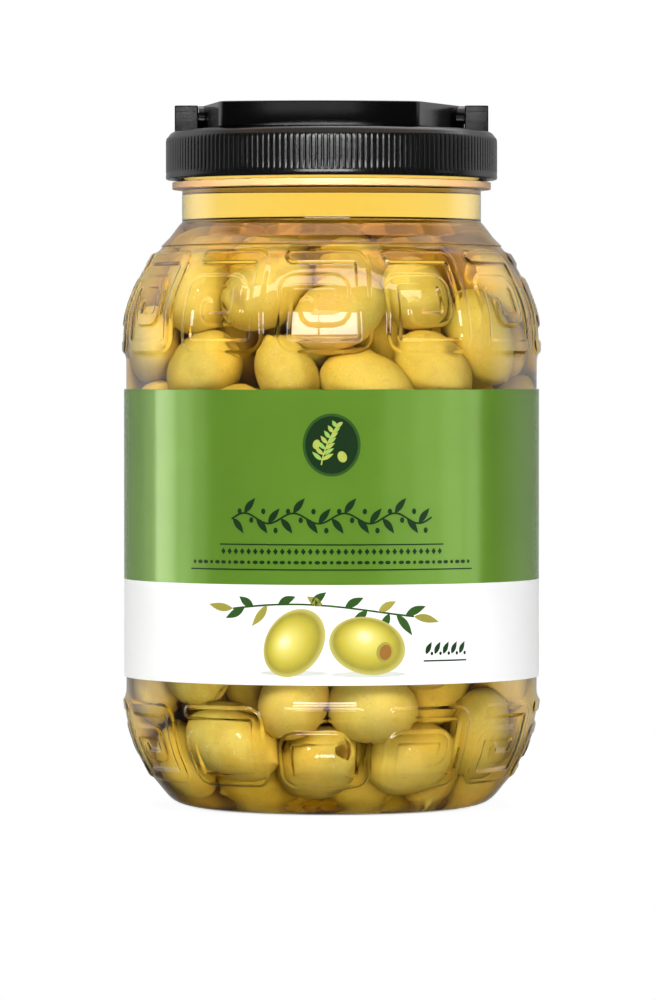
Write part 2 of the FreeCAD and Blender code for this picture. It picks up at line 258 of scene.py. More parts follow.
def key_centre_line(zs, stub):
    h = BAR / 2

    def X(deg, z, side):
        return float(base_at(z)[0]) * math.radians(deg) + side * h
    zt, zit, zib, zb = zs
    return [(X(KEY_LEFT, zt, 1) + 1.0, zt), (X(KEY_RIGHT, zt, -1), zt),
            (X(KEY_RIGHT, zb, -1), zb), (X(KEY_LEFT, zb, 1), zb),
            (X(KEY_LEFT, zit, 1), zit), (X(INNER_RIGHT, zit, -1), zit),
            (X(INNER_RIGHT, zib, -1), zib), (X(STUB_LEFT, zib, 1), zib),
            (X(STUB_LEFT, zib + stub, 1), zib + stub)]


def fillet_path(path, radius, last, step):
    p = [np.array(q, float) for q in path]
    out = [p[0]]
    for i in range(1, len(p) - 1):
        rad = last if i == len(p) - 2 else radius
        d0 = (p[i] - p[i - 1]) / np.linalg.norm(p[i] - p[i - 1])
        d1 = (p[i + 1] - p[i]) / np.linalg.norm(p[i + 1] - p[i])
        ang = math.acos(max(-1, min(1, float(d0 @ d1))))
        t = rad * math.tan(ang / 2)
        a = p[i] - d0 * t
        turn = d0[0] * d1[1] - d0[1] * d1[0]
        s = 1 if turn > 0 else -1
        c = a + np.array([-d0[1], d0[0]]) * s * rad
        n = max(4, int(rad * ang / step) + 1)
        start = a - c
        for j in range(n + 1):
            th = s * ang * j / n
            ct, st = math.cos(th), math.sin(th)
            out.append(c + np.array([ct * start[0] - st * start[1], st * start[0] + ct * start[1]]))
    out.append(p[-1])
    q = np.array(out)
    seg = np.linalg.norm(q[1:] - q[:-1], axis=1)
    s = np.concatenate([[0], np.cumsum(seg)])
    n = int(s[-1] / step)
    t = np.linspace(0, s[-1], n)
    return np.stack([np.interp(t, s, q[:, 0]), np.interp(t, s, q[:, 1])], 1)


def sparse_path(path, radius, last, step):
    """The same line with only the points its bends need."""
    fine = fillet_path(path, radius, last, 0.1)
    d = np.diff(fine, axis=0)
    turn = np.abs(np.diff(np.unwrap(np.arctan2(d[:, 1], d[:, 0]))))
    turn = np.concatenate([[0], turn, [0]])
    keep, run, bend = [0], 0.0, 0.0
    for i in range(1, len(fine) - 1):
        run += float(np.linalg.norm(fine[i] - fine[i - 1]))
        bend += float(turn[i])
        if run >= step or bend >= math.radians(12.5):
            keep.append(i)
            run = bend = 0.0
    keep.append(len(fine) - 1)
    return fine[keep]


def offset_line(line, nor, o, side):
    """One side of the line at a distance, then round its far end."""
    end, d = line[-1], line[-1] - line[-2]
    base = math.atan2(d[1], d[0])
    k = max(4, int(math.pi * o / 0.8))
    a = base + np.linspace(math.pi / 2, -math.pi / 2, k + 1)[1:-1]
    cap = end + o * np.stack([np.cos(a), np.sin(a)], 1)
    return np.vstack([line + nor * o, cap])


def path_distance(path, x, z):
    """Distance of points to a densely sampled line."""
    out = np.empty(len(x))
    for i in range(0, len(x), 1500):
        dx = x[i:i + 1500, None] - path[None, :, 0]
        dz = z[i:i + 1500, None] - path[None, :, 1]
        out[i:i + 1500] = np.sqrt((dx * dx + dz * dz).min(1))
    return out


class Band:
    """One band of keys: the triangulated cell of a key, shared by the outer
    wall, the inner wall and the brine."""

    def __init__(self, z0, z1, zs, stub, fillet, side_step=1.6):
        self.z0, self.z1 = z0, z1
        line = key_centre_line(zs, stub)
        self.path = fillet_path(line, fillet, 2.3, 0.12)
        coarse = sparse_path(line, fillet, 2.3, 1.55)
        cols = COLS // KEYS
        th = np.linspace(CELL0, CELL1, cols + 1)
        m = int((z1 - z0) / side_step)
        sz = np.linspace(z0, z1, m + 1)[1:-1]
        pts = [(t, z0) for t in th] + [(t, z1) for t in th]
        pts += [(CELL0, z) for z in sz] + [(CELL1, z) for z in sz]
        self.nb, self.ns = cols + 1, len(sz)
        # candidates along the bars
        cand = []
        tan = np.gradient(coarse, axis=0)
        tan /= np.linalg.norm(tan, axis=1, keepdims=True)
        nor = np.stack([-tan[:, 1], tan[:, 0]], 1)
        for o in (0.0, 0.7, 1.2, 1.5, 1.8, 2.1, 2.4, 2.7, 3.0, 3.4):
            if o:
                cand.append((np.vstack([offset_line(coarse, nor, o, 1), offset_line(coarse[::-1], -nor[::-1], o, 1)]), o))
            else:
                cand.append((coarse, o))
        cell = {}

        def near(x, z, r):
            i, j = int(x / 0.7), int(z / 0.7)
            for a in (-1, 0, 1):
                for b in (-1, 0, 1):
                    for q in cell.get((i + a, j + b), ()):
                        if (q[0] - x) ** 2 + (q[1] - z) ** 2 < r * r:
                            return True
            return False
        keep, edges = [], []
        first = len(pts)
        for arr, o in cand:
            if o:
                arr = np.vstack([arr, arr[:1]])
            d = path_distance(self.path, arr[:, 0], arr[:, 1])
            prev, start = -1, -1
            for q, ((x, z), dd) in enumerate(zip(arr, d)):
                if o and q == len(arr) - 1 and prev >= 0 and start >= 0 and prev != start:
                    edges.append((prev, start))
                    break
                if dd < o - 0.04 or not z0 + 0.5 < z < z1 - 0.5:
                    prev = -1
                    continue
                th_deg = math.degrees(x / float(base_at(z)[0]))
                if not CELL0 + 0.5 < th_deg < CELL1 - 0.5:
                    prev = -1
                    continue
                if near(x, z, 0.15):
                    continue
                cell.setdefault((int(x / 0.7), int(z / 0.7)), []).append((x, z))
                keep.append((th_deg, z))
                now = first + len(keep) - 1
                if prev >= 0:
                    edges.append((prev, now))
                prev = now
                if q == 0:
                    start = now
        # plain wall between the bars
        for z in np.arange(z0 + 1.2, z1 - 0.8, 1.6):
            r = float(base_at(z)[0])
            for t in np.linspace(CELL0, CELL1, cols + 1)[1:-1]:
                x = math.radians(t) * r
                if path_distance(self.path, np.array([x]), np.array([z]))[0] > 3.9:
                    keep.append((t, z))
        pts += keep
        self.pts = np.array(pts)
        # triangulate in arc length by height
        v2 = [Vector((math.radians(t) * 68.0, z)) for t, z in pts]
        out = geometry.delaunay_2d_cdt(v2, edges, [], 0, 1e-5)
        vo, fo, orig = out[0], out[2], out[3]
        back, more = [], []
        for i, o in enumerate(orig):
            if o:
                back.append(o[0])
            else:                                  # a point where two lines meet
                more.append((math.degrees(vo[i][0] / 68.0), vo[i][1]))
                back.append(len(pts) + len(more) - 1)
        if more:
            self.pts = np.array(pts + more)
        tris = []
        for f in fo:
            g = [back[i] for i in f]
            if -1 in g:
                continue
            a, b, c = (self.pts[i] for i in g)
            area = (b[0] - a[0]) * (c[1] - a[1]) - (b[1] - a[1]) * (c[0] - a[0])
            if abs(area) < 1e-7:
                continue
            tris.append(g if area > 0 else g[::-1])
        self.tris = np.array(tris)

    def height(self, theta_deg, z, lo, hi, amount):
        r = base_at(z)[0]
        d = path_distance(self.path, np.radians(theta_deg) * r, z)
        return amount * smoothstep((hi - d) / (hi - lo))


bands = [Band(8.2, 38.9, (34.6, 26.7, 18.8, 12.3), 2.5, 2.9),
         Band(151.4, 190.6, (186.2, 178.15, 165.55, 156.65), 4.8, 3.4)]


def surface(theta_deg, z, inset, wave, band=None, lo=1.25, hi=2.85, amount=RELIEF):
    """Points of one layer of the wall, given as angle and height."""
    r, nr, nz = base_at(z)
    h = -inset * np.ones_like(r)
    if band is not None:
        h = h + band.height(theta_deg, z, lo, hi, amount)
    if wave:
        t = np.radians(theta_deg)
        h = h + wave * (np.sin(5 * t + z * 0.11) * np.sin(z * 0.23 + 1.0)
                        + 0.6 * np.sin(9 * t - z * 0.17 + 2.0)
                        + 0.4 * np.sin(14 * t + z * 0.31))
    t = np.radians(theta_deg)
    rr, zz = r + h * nr, z + h * nz
    return np.stack([rr * np.sin(t), -rr * np.cos(t), zz], 1)


def surface_normals(theta_deg, z, **kw):
    e = 0.05
    et = np.degrees(e / 68.0)
    a = surface(theta_deg + et, z, **kw) - surface(theta_deg - et, z, **kw)
    b = surface(theta_deg, z + e, **kw) - surface(theta_deg, z - e, **kw)
    n = np.cross(a, b)
    return n / np.linalg.norm(n, axis=1, keepdims=True)


def rotz(v, deg):
    c, s = math.cos(math.radians(deg)), math.sin(math.radians(deg))
    return np.stack([v[:, 0] * c - v[:, 1] * s, v[:, 0] * s + v[:, 1] * c, v[:, 2]], 1)


COL_DEG = CELL0 + np.arange(COLS) * 360.0 / COLS


class Sheet:
    """Collects vertices, normals and faces of a wall layer, going up."""

    def __init__(self):
        self.v, self.n, self.f = [], [], []
        self.count = 0

    def add(self, v, n):
        i = self.count
        self.v.append(v)
        self.n.append(n)
        self.count += len(v)
        return i

    def ring(self, r, z, nr, nz):
        t = np.radians(COL_DEG)
        v = np.stack([r * np.sin(t), -r * np.cos(t), np.full(COLS, z)], 1)
        n = np.stack([nr * np.sin(t), -nr * np.cos(t), np.full(COLS, nz)], 1)
        return self.add(v, n)

    def layer_ring(self, z, kw):
        th = COL_DEG.copy()
        zz = np.full(COLS, float(z))
        return self.add(surface(th, zz, **kw), surface_normals(th, zz, **kw))

    def stitch(self, a, b):
        for j in range(COLS):
            k = (j + 1) % COLS
            self.f.append((a + j, a + k, b + k, b + j))

    def fan(self, r0, z, up):
        c = self.add(np.array([[0, 0, z]]), np.array([[0, 0, 1.0 if up else -1.0]]))
        for j in range(COLS):
            k = (j + 1) % COLS
            self.f.append((c, r0 + k, r0 + j) if not up else (c, r0 + j, r0 + k))

    def cell(self, band, below, kw):
        """A band of keys above ring `below`; returns its top ring."""
        nb, ns = band.nb, band.ns
        p = band.pts
        kwb = dict(kw, band=band)
        V = surface(p[:, 0], p[:, 1], **kwb)
        N = surface_normals(p[:, 0], p[:, 1], **kwb)
        cols = nb - 1
        top = self.count
        tv, tn = [], []
        for k in range(KEYS):
            sl = slice(nb, nb + cols)
            tv.append(rotz(V[sl], 30.0 * k))
            tn.append(rotz(N[sl], 30.0 * k))
        self.add(np.vstack(tv), np.vstack(tn))
        side = self.count
        for k in range(KEYS):
            self.add(rotz(V[2 * nb:2 * nb + ns], 30.0 * k), rotz(N[2 * nb:2 * nb + ns], 30.0 * k))
        inner = self.count
        first = 2 * nb + 2 * ns
        m = len(p) - first
        for k in range(KEYS):
            self.add(rotz(V[first:], 30.0 * k), rotz(N[first:], 30.0 * k))
        for k in range(KEYS):
            idx = np.empty(len(p), int)
            j = np.arange(nb)
            idx[:nb] = below + (k * cols + j) % COLS
            idx[nb:2 * nb] = top + (k * cols + j) % COLS
            s = np.arange(ns)
            idx[2 * nb:2 * nb + ns] = side + k * ns + s
            idx[2 * nb + ns:first] = side + ((k + 1) % KEYS) * ns + s
            idx[first:] = inner + k * m + np.arange(m)
            self.f.extend(map(tuple, idx[band.tris].tolist()))
        return top

    def arrays(self):
        return np.vstack(self.v), np.vstack(self.n), self.f


def build_layer(sheet, inset_fn, kw):
    """Bottom centre to the top of the upper band, at an inset from the outer
    wall. Returns the index of the last ring."""
    rows = list(range(8, i_mono - 1, 9))
    last = None
    for i in rows:
        if prof[i, 1] >= 6.8 and prof[i, 0] > 55:
            break
        w = inset_fn(prof[i, 1], prof[i, 0])
        r = max(0.4, prof[i, 0] - w * prof_n[i, 0])
        z = prof[i, 1] - w * prof_n[i, 1]
        ring = sheet.ring(r, z, *prof_n[i])
        if last is None:
            c = prof[0, 1] - inset_fn(prof[0, 1], 0.0) * prof_n[0, 1]
            sheet.fan(ring, c, up=False)
        else:
            sheet.stitch(last, ring)
        last = ring
    kw = dict(kw, inset=inset_fn(10.0, 61.0))
    z = 7.4
    ring = sheet.layer_ring(z, kw)
    sheet.stitch(last, ring)
    ring2 = sheet.layer_ring(bands[0].z0, kw)
    sheet.stitch(ring, ring2)
    last = sheet.cell(bands[0], ring2, kw)
    zs = np.concatenate([np.arange(39.6, 44.4, 0.45), np.arange(46, 141.5, 3.0),
                         np.arange(142.2, 151.2, 0.6)])
    for z in zs:
        ring = sheet.layer_ring(z, kw)
        sheet.stitch(last, ring)
        last = ring
    ring = sheet.layer_ring(bands[1].z0, kw)
    sheet.stitch(last, ring)
    return sheet.cell(bands[1], ring, kw)


def profile_rows(sheet, last, points, sigma=0.25, step=0.6, flip=False):
    """Rings along a profile, from the ring `last` on."""
    q, nrm = resample(points, 0.05, sigma)
    s = np.concatenate([[0], np.cumsum(np.linalg.norm(q[1:] - q[:-1], axis=1))])
    turn = np.abs(np.gradient(np.unwrap(np.arctan2(nrm[:, 1], nrm[:, 0])), s))
    pos, i = [], 0
    acc = 0.0
    for i in range(1, len(s)):
        acc += (s[i] - s[i - 1]) * (1.0 / step + turn[i] * 3.0)
        if acc >= 1.0:
            pos.append(i)
            acc = 0.0
    if pos[-1] != len(s) - 1:
        pos.append(len(s) - 1)
    for i in pos:
        ring = sheet.ring(q[i, 0], q[i, 1], nrm[i, 0], nrm[i, 1])
        sheet.stitch(last, ring)
        last = ring
    return last


def wall_inset(share):
    def f(z, r):
        t = smoothstep((12.0 - z) / 10.0)
        return float(share * (1.0 + 0.5 * t))
    return f


def ring_at(inset, z=190.6):
    p = surface(np.array([0.0]), np.array([z]), inset=inset, wave=0.0)[0]
    return (-p[1], p[2])


# the jar: outer wall up to the rim, then the inner wall back down
up = Sheet()
OUT_KW = dict(inset=0.0, wave=0.015)
last = build_layer(up, lambda z, r: 0.0, OUT_KW)
a = ring_at(0.0)
last = profile_rows(up, last, [a, (58.2, 190.9), (55.2, 193.9), (52.2, 197.9), (51.05, 199.1),
                               (51.05, 210.2), (54.4, 210.3), (54.4, 212.6), (51.3, 212.75),
                               (51.05, 214.0), (51.05, 227.4), (48.85, 227.4), (48.85, 226.0)],
                    sigma=0.10, step=1.2)
down = Sheet()
IN_KW = dict(inset=1.0, wave=0.03, lo=1.1, hi=2.95, amount=0.70)
dlast = build_layer(down, wall_inset(1.0), IN_KW)
b = ring_at(1.0)
dlast = profile_rows(down, dlast, [b, (57.2, 190.2), (54.3, 193.3), (51.25, 197.4), (50.05, 198.6), (R_NECK_IN, 199.7),
                                   (R_NECK_IN, 226.0)], sigma=0.22, step=1.6)
v1, n1, f1 = up.arrays()
v2, n2, f2 = down.arrays()
off = len(v1)
faces = list(f1) + [tuple(off + i for i in f[::-1]) for f in f2]
for j in range(COLS):
    k = (j + 1) % COLS
    faces.append((last + j, last + k, off + dlast + k, off + dlast + j))
pet = clear_material("clear_plastic", 1.57, 0.015, (0.995, 1.0, 0.995), (0.96, 0.965, 0.95))
pet_wet = clear_material("clear_plastic_wet", 1.57, 0.015, (0.995, 1.0, 0.995), (0.96, 0.965, 0.95), shine=0.12)
# the neck's flange gets a diffuse amber colour and stays only 0.3 clear: a painted glow that stands in for the amber
# brine light seen through the clear plastic
m = Mat("clear_plastic_rim_painted_amber")
b = m.bsdf(Roughness=0.30, IOR=1.45)
m.link(m.mix(m.noise(m.coords(1.0), 90.0, 2.0), (1.0, 0.52, 0.20), (1.0, 0.65, 0.31)), b.inputs["Base Color"])
b.inputs["Transmission Weight"].default_value = 0.3
m.link(b.outputs[0], m.out.inputs["Surface"])
rim_painted_amber = m.m
rim_face = [2 if 210.15 < v1[f[0]][2] < 213.3 and v1[f[2]][2] < 213.4 else 0 for f in f1]
jar = make_mesh("jar_wall", np.vstack([v1, v2]), faces, np.vstack([n1, -n2]), mats=[pet, pet_wet, rim_painted_amber],
                face_mat=rim_face + [1] * len(f2) + [0] * COLS)
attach(jar, "jar"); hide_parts("jar")

# the brine, which reaches just into the wall
wet = Sheet()
WET_KW = dict(inset=0.5, wave=0.022, lo=1.15, hi=2.90, amount=0.76)
wlast = build_layer(wet, wall_inset(0.5), WET_KW)
c = ring_at(0.5)
wlast = profile_rows(wet, wlast, [c, (57.7, 190.5), (54.75, 193.6), (51.7, 197.65), (50.55, 198.85), (49.9, 199.5),
                                  (49.9, Z_BRINE - 0.6), (49.6, Z_BRINE - 0.15), (48.3, Z_BRINE)],
                     sigma=0.2, step=1.6)
wet.fan(wlast, Z_BRINE, up=True)
v3, n3, f3 = wet.arrays()
brine_mat = clear_material("brine", 1.34, 0.0, (1.0, 1.0, 1.0), (0.99, 0.985, 0.96),
                           volume=((1.0, 0.81, 0.0), 24.0), shine=0.2)
brine = make_mesh("brine_fill", v3, f3, n3, mats=[brine_mat])
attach(brine, "jar"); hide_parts("brine")


# -------------------------------------------------------------- the olives --
def wall_distance(rho, z, lines, lid):
    """Signed distance inside the jar and the way back in, in the half plane."""
    a, b = lines[:-1], lines[1:]
    ab = b - a
    p = np.stack([rho, z], 1)
    t = np.clip(((p[:, None] - a[None]) * ab[None]).sum(2) / (ab * ab).sum(1)[None], 0, 1)
    near = a[None] + t[..., None] * ab[None]
    d2 = ((p[:, None] - near) ** 2).sum(2)
    j = d2.argmin(1)
    i = np.arange(len(p))
    q = near[i, j]
    n = np.stack([-ab[j, 1], ab[j, 0]], 1)       # inside lies left of a line going up
    n /= np.linalg.norm(n, axis=1, keepdims=True)
    s = ((p - q) * n).sum(1)
    d = np.sqrt(d2[i, j]) * np.sign(s)
    way = np.where((np.abs(d) > 1e-3)[:, None], (p - q) / np.where(np.abs(d) < 1e-3, 1, d)[:, None], n)
    top = lid + 0.09 * (62.0 - rho) - z
    use = top < d
    d = np.where(use, top, d)
    way = np.where(use[:, None], np.array([[0.0, -1.0]]), way)
    return d, way


def pack(count, lid, steps=420):
    keep = [0]
    for i in range(6, len(prof), 22):
        keep.append(i)
    lines = np.stack([prof[keep, 0] - 1.25 * prof_n[keep, 0], prof[keep, 1] - 1.25 * prof_n[keep, 1]], 1)
    low = np.clip((16.0 - lines[:, 1]) / 9.0, 0, 1)
    lines[:, 0] -= 2.2 * low * (lines[:, 0] > 40)
    lines[:, 1] += 2.6 * low
    lines[0] = (0.0, 8.8)
    lines = lines[(lines[:, 1] < 197) & (lines[:, 0] > -0.1)]
    size = np.clip(1 + 0.055 * rng.standard_normal(count), 0.88, 1.13)
    slim = np.clip(1 + 0.05 * rng.standard_normal(count), 0.9, 1.1)
    R_mid = 11.2 * size / np.sqrt(slim)
    half = 15.1 * size * slim
    R_end = 0.80 * R_mid
    arm = half - R_end
    z = rng.uniform(16, lid - 8, count)
    rad = 58 * np.sqrt(rng.uniform(0, 1, count))
    ang = rng.uniform(0, 2 * np.pi, count)
    c = np.stack([rad * np.cos(ang), rad * np.sin(ang), z], 1)
    d = rng.standard_normal((count, 3))
    d /= np.linalg.norm(d, axis=1, keepdims=True)
    A, B = c - d * arm[:, None] * 0.4, c + d * arm[:, None] * 0.4
    owner = np.tile(np.arange(count), 3)
    w = np.concatenate([np.tile([[1.0, 0.0]], (count, 1)), np.tile([[0.5, 0.5]], (count, 1)),
                        np.tile([[0.0, 1.0]], (count, 1))])
    for it in range(steps):
        g = min(1.0, 0.4 + 0.6 * it / (0.62 * steps))
        P = w[:, :1] * A[owner] + w[:, 1:] * B[owner]
        R = np.concatenate([R_end, R_mid, R_end]) * g
        sq = (P * P).sum(1)
        D2 = sq[:, None] + sq[None] - 2 * P @ P.T
        S = R[:, None] + R[None]
        hit = (D2 < S * S) & (owner[:, None] != owner[None])
        i, j = np.nonzero(np.triu(hit, 1))
        dv = P[j] - P[i]
        dist = np.sqrt(np.maximum((dv * dv).sum(1), 1e-6))
        over = (R[i] + R[j] - dist)
        push = dv / dist[:, None] * (0.5 * over)[:, None]
        dA, dB, cnt = np.zeros_like(A), np.zeros_like(B), np.zeros((count, 2))
        for idx, sgn in ((i, -1), (j, 1)):
            np.add.at(dA, owner[idx], sgn * push * w[idx, :1])
            np.add.at(dB, owner[idx], sgn * push * w[idx, 1:])
            np.add.at(cnt, owner[idx], w[idx])
        rho = np.hypot(P[:, 0], P[:, 1])
        dist, way = wall_distance(rho, P[:, 2], lines, lid)
        out = np.maximum(R + 0.15 - dist, 0)
        k = np.nonzero(out > 0)[0]
        u = np.stack([P[k, 0] / np.maximum(rho[k], 1e-6), P[k, 1] / np.maximum(rho[k], 1e-6)], 1)
        mv = np.stack([u[:, 0] * way[k, 0], u[:, 1] * way[k, 0], way[k, 1]], 1) * out[k, None]
        np.add.at(dA, owner[k], 1.3 * mv * w[k, :1])
        np.add.at(dB, owner[k], 1.3 * mv * w[k, 1:])
        np.add.at(cnt, owner[k], 0.5 * w[k])
        relax = 1.25
        A += relax * dA / np.maximum(cnt[:, :1] * 0.55, 1)
        B += relax * dB / np.maximum(cnt[:, 1:] * 0.55, 1)
        if it < 0.7 * steps:                       # settle towards the wall and the bottom
            c = 0.5 * (A + B)
            pull = np.stack([c[:, 0], c[:, 1], 0 * c[:, 2]], 1)
            pull /= np.maximum(np.linalg.norm(pull, axis=1, keepdims=True), 1e-6)
            A += 0.05 * pull
            B += 0.05 * pull
        c = 0.5 * (A + B)
        d = B - A
        d /= np.maximum(np.linalg.norm(d, axis=1, keepdims=True), 1e-9)
        if it < 0.8 * steps:                       # fruit at the wall lie along it
            rc = np.maximum(np.hypot(c[:, 0], c[:, 1]), 1e-6)
            u = np.stack([c[:, 0] / rc, c[:, 1] / rc, 0 * rc], 1)
            amt = 0.10 * np.clip((rc - 44) / 10, 0, 1) * (np.arange(count) % 5 > 0)
            d = d - (amt * (d * u).sum(1))[:, None] * u
            d /= np.maximum(np.linalg.norm(d, axis=1, keepdims=True), 1e-9)
        A, B = c - d * (arm * g)[:, None], c + d * (arm * g)[:, None]
    mean_over = float(np.mean(np.maximum(over, 0))) if len(over) else 0.0
    return c, d, R_mid, half, mean_over, float(over.max() if len(over) else 0)


OLIVE_COUNT = 202
centres, axes, olive_r, olive_half, over_mean, over_max = pack(OLIVE_COUNT, 184.0)
print("olives %d, overlap mean %.2f mm, most %.2f mm" % (OLIVE_COUNT, over_mean, over_max))


def olive_profile(half, r, pit, tip):
    """Outline from the pit hole's floor, round the fruit, to the tip."""
    p = []
    depth = 6.5
    x0 = -half * 0.955
    if pit > 0:
        p += [(x0 + depth, 0.0), (x0 + depth - 0.4, pit * 0.55), (x0 + depth - 1.4, pit * 0.85),
              (x0 + 2.6, pit * 0.93), (x0 + 0.9, pit), (x0 + 0.2, pit + 0.5)]
        first = math.asin(min(0.9, (pit + 1.25) / r))
    else:
        p += [(x0 + 0.5, 0.0), (x0 + 0.15, 0.7)]
        first = 0.17
    for a in np.linspace(first, math.pi - 0.16, 17):
        x = -half * math.cos(a)
        if x < 0:
            x *= 0.985
        rr = r * math.sin(a) ** 0.96 * (1 + 0.035 * math.cos(a))
        p.append((x, rr))
    p += [(half * 0.985 + tip * 0.45, 1.25), (half * 0.985 + tip, 0.55), (half * 0.985 + tip - 0.25, 0.0)]
    return np.array(p)


def build_olives(name, which, mat):
    seg = 26
    V, F, A1, A2, A3 = [], [], [], [], []
    off = 0
    for i in which:
        c, d, r, half = centres[i], axes[i], olive_r[i], olive_half[i]
        # the pit hole is at the -d end; most fruit near the wall turn it inward
        out = np.array([c[0], c[1], 0.0]) / max(1e-6, math.hypot(c[0], c[1]))
        if (rng.random() < 0.5) if rng.random() < 0.10 else (-d @ out > 0):
            d = -d
        pit = rng.uniform(2.3, 3.3)
        p = olive_profile(half - 0.35, r, pit, rng.uniform(0.5, 1.7))
        t = np.linspace(0, 2 * np.pi, seg, endpoint=False)
        rough = [rng.uniform(0, 2 * np.pi) for _ in range(8)]
        k2, k3, bend = rng.uniform(0, 0.04), rng.uniform(0, 0.022), rng.uniform(-0.5, 0.5)
        x = np.repeat(p[:, 0], seg)
        rr = np.repeat(p[:, 1], seg)
        tt = np.tile(t, len(p))
        xi = x / half
        wob = (1 + k2 * np.cos(2 * tt + rough[0] + 0.6 * xi) + k3 * np.cos(3 * tt + rough[1] + xi * 1.5)
               + 0.014 * np.cos(2 * tt + rough[2]) * np.sin(3.0 * xi + rough[3])
               + 0.010 * np.cos(5 * tt + rough[4] + 2 * xi) * np.cos(4 * xi + rough[5]))
        # a soft dent or flat where fruit press together
        for _ in range(2):
            ta, xa = rng.uniform(0, 2 * np.pi), rng.uniform(-0.6, 0.6)
            wob -= 0.028 * rng.uniform(0.2, 1) * np.exp(-((np.angle(np.exp(1j * (tt - ta)))) ** 2 / 0.22
                                                           + (xi - xa) ** 2 / 0.09))
        rr = rr * wob
        yy, zz = rr * np.cos(tt), rr * np.sin(tt) + bend * (1 - xi ** 2)
        e1 = np.cross(d, [0.0, 0.0, 1.0])
        if np.linalg.norm(e1) < 0.1:
            e1 = np.cross(d, [0.0, 1.0, 0.0])
        e1 /= np.linalg.norm(e1)
        e2 = np.cross(d, e1)
        q = c + x[:, None] * d + yy[:, None] * e1 + zz[:, None] * e2
        rows = len(p)
        # first and last rows are poles
        pts = [q[0:seg].mean(0)[None], q[seg:(rows - 1) * seg], q[(rows - 1) * seg:].mean(0)[None]]
        pts = np.vstack(pts)
        V.append(pts)
        n_mid = rows - 2
        pole_a, pole_b = off, off + 1 + n_mid * seg
        for s in range(seg):
            k = (s + 1) % seg
            F.append((pole_a, off + 1 + s, off + 1 + k))
            for m in range(n_mid - 1):
                a0 = off + 1 + m * seg
                F.append((a0 + s, a0 + seg + s, a0 + seg + k, a0 + k))
            a0 = off + 1 + (n_mid - 1) * seg
            F.append((a0 + s, pole_b, a0 + k))
        off += len(pts)
        # darkening of the pit hole, strongest at its floor: painted shade in the recess
        pit_shade = np.zeros(len(pts))
        pit_shade[0] = 1.0
        for m in range(4):
            pit_shade[1 + m * seg:1 + (m + 1) * seg] = (1.0, 0.9, 0.6, 0.25)[m]
        A1.append(np.full(len(pts), rng.random()))
        A2.append(pit_shade)
        A3.append(np.full(len(pts), rng.random()))
    v = np.vstack(V)
    f = np.array([0])
    ob = make_mesh(name, v, F, mats=[mat])
    # outward faces
    point_attr(ob, "tint", np.concatenate(A1))
    point_attr(ob, "pit", np.concatenate(A2))
    point_attr(ob, "ripe", np.concatenate(A3))
    bm = bmesh.new()
    bm.from_mesh(ob.data)
    bmesh.ops.recalc_face_normals(bm, faces=bm.faces)
    bm.to_mesh(ob.data)
    bm.free()
    return ob


m = Mat("olive_flesh")
attr = m.node("ShaderNodeAttribute"); attr.attribute_name = "tint"
pit_shade_attr = m.node("ShaderNodeAttribute"); pit_shade_attr.attribute_name = "pit"
attr3 = m.node("ShaderNodeAttribute"); attr3.attribute_name = "ripe"
vec = m.coords(1.0)
base = m.ramp(attr.outputs["Fac"], [(0.0, (0.50, 0.34, 0.045)), (0.3, (0.60, 0.41, 0.050)),
                                    (0.65, (0.64, 0.45, 0.075)), (1.0, (0.54, 0.40, 0.060))])
blotch = m.noise(vec, 70.0, 3.0, 0.55)
base = m.mix(m.ramp(blotch, [(0.38, (0, 0, 0)), (0.68, (1, 1, 1))]), base, (0.66, 0.45, 0.085))
green = m.noise(vec, 38.0, 2.0, 0.5)
base = m.mix(m.math("MULTIPLY", m.ramp(green, [(0.45, (0, 0, 0)), (0.7, (1, 1, 1))]), 0.6), base, (0.40, 0.37, 0.10))
amber = m.math("MULTIPLY", m.ramp(attr3.outputs["Fac"], [(0.72, (0, 0, 0)), (0.95, (1, 1, 1))]),
               m.ramp(m.noise(vec, 55.0, 1.0), [(0.4, (0, 0, 0)), (0.62, (1, 1, 1))]))
base = m.mix(m.math("MULTIPLY", amber, 0.5), base, (0.60, 0.31, 0.06))
shade_n = m.noise(vec, 120.0, 4.0, 0.6, 0.6)
base = m.mix(m.math("MULTIPLY", m.ramp(shade_n, [(0.50, (0, 0, 0)), (0.74, (1, 1, 1))]), 0.42), base, (0.42, 0.26, 0.045))
bright = m.noise(vec, 95.0, 2.0, 0.5)
base = m.mix(m.math("MULTIPLY", m.ramp(bright, [(0.55, (0, 0, 0)), (0.75, (1, 1, 1))]), 0.40), base, (0.74, 0.60, 0.14))
bruise = m.noise(vec, 62.0, 1.0, 0.5)
base = m.mix(m.math("MULTIPLY", m.ramp(bruise, [(0.71, (0, 0, 0)), (0.78, (1, 1, 1))]), 0.55), base, (0.25, 0.15, 0.04))
freck = m.noise(vec, 900.0, 2.0, 0.6)
base = m.mix(m.math("MULTIPLY", m.ramp(freck, [(0.62, (0, 0, 0)), (0.72, (1, 1, 1))]), 0.35), base, (0.30, 0.22, 0.05))
pale = m.noise(vec, 1500.0, 1.0, 0.5)
base = m.mix(m.math("MULTIPLY", m.ramp(pale, [(0.60, (0, 0, 0)), (0.70, (1, 1, 1))]), 0.25), base, (0.75, 0.62, 0.26))
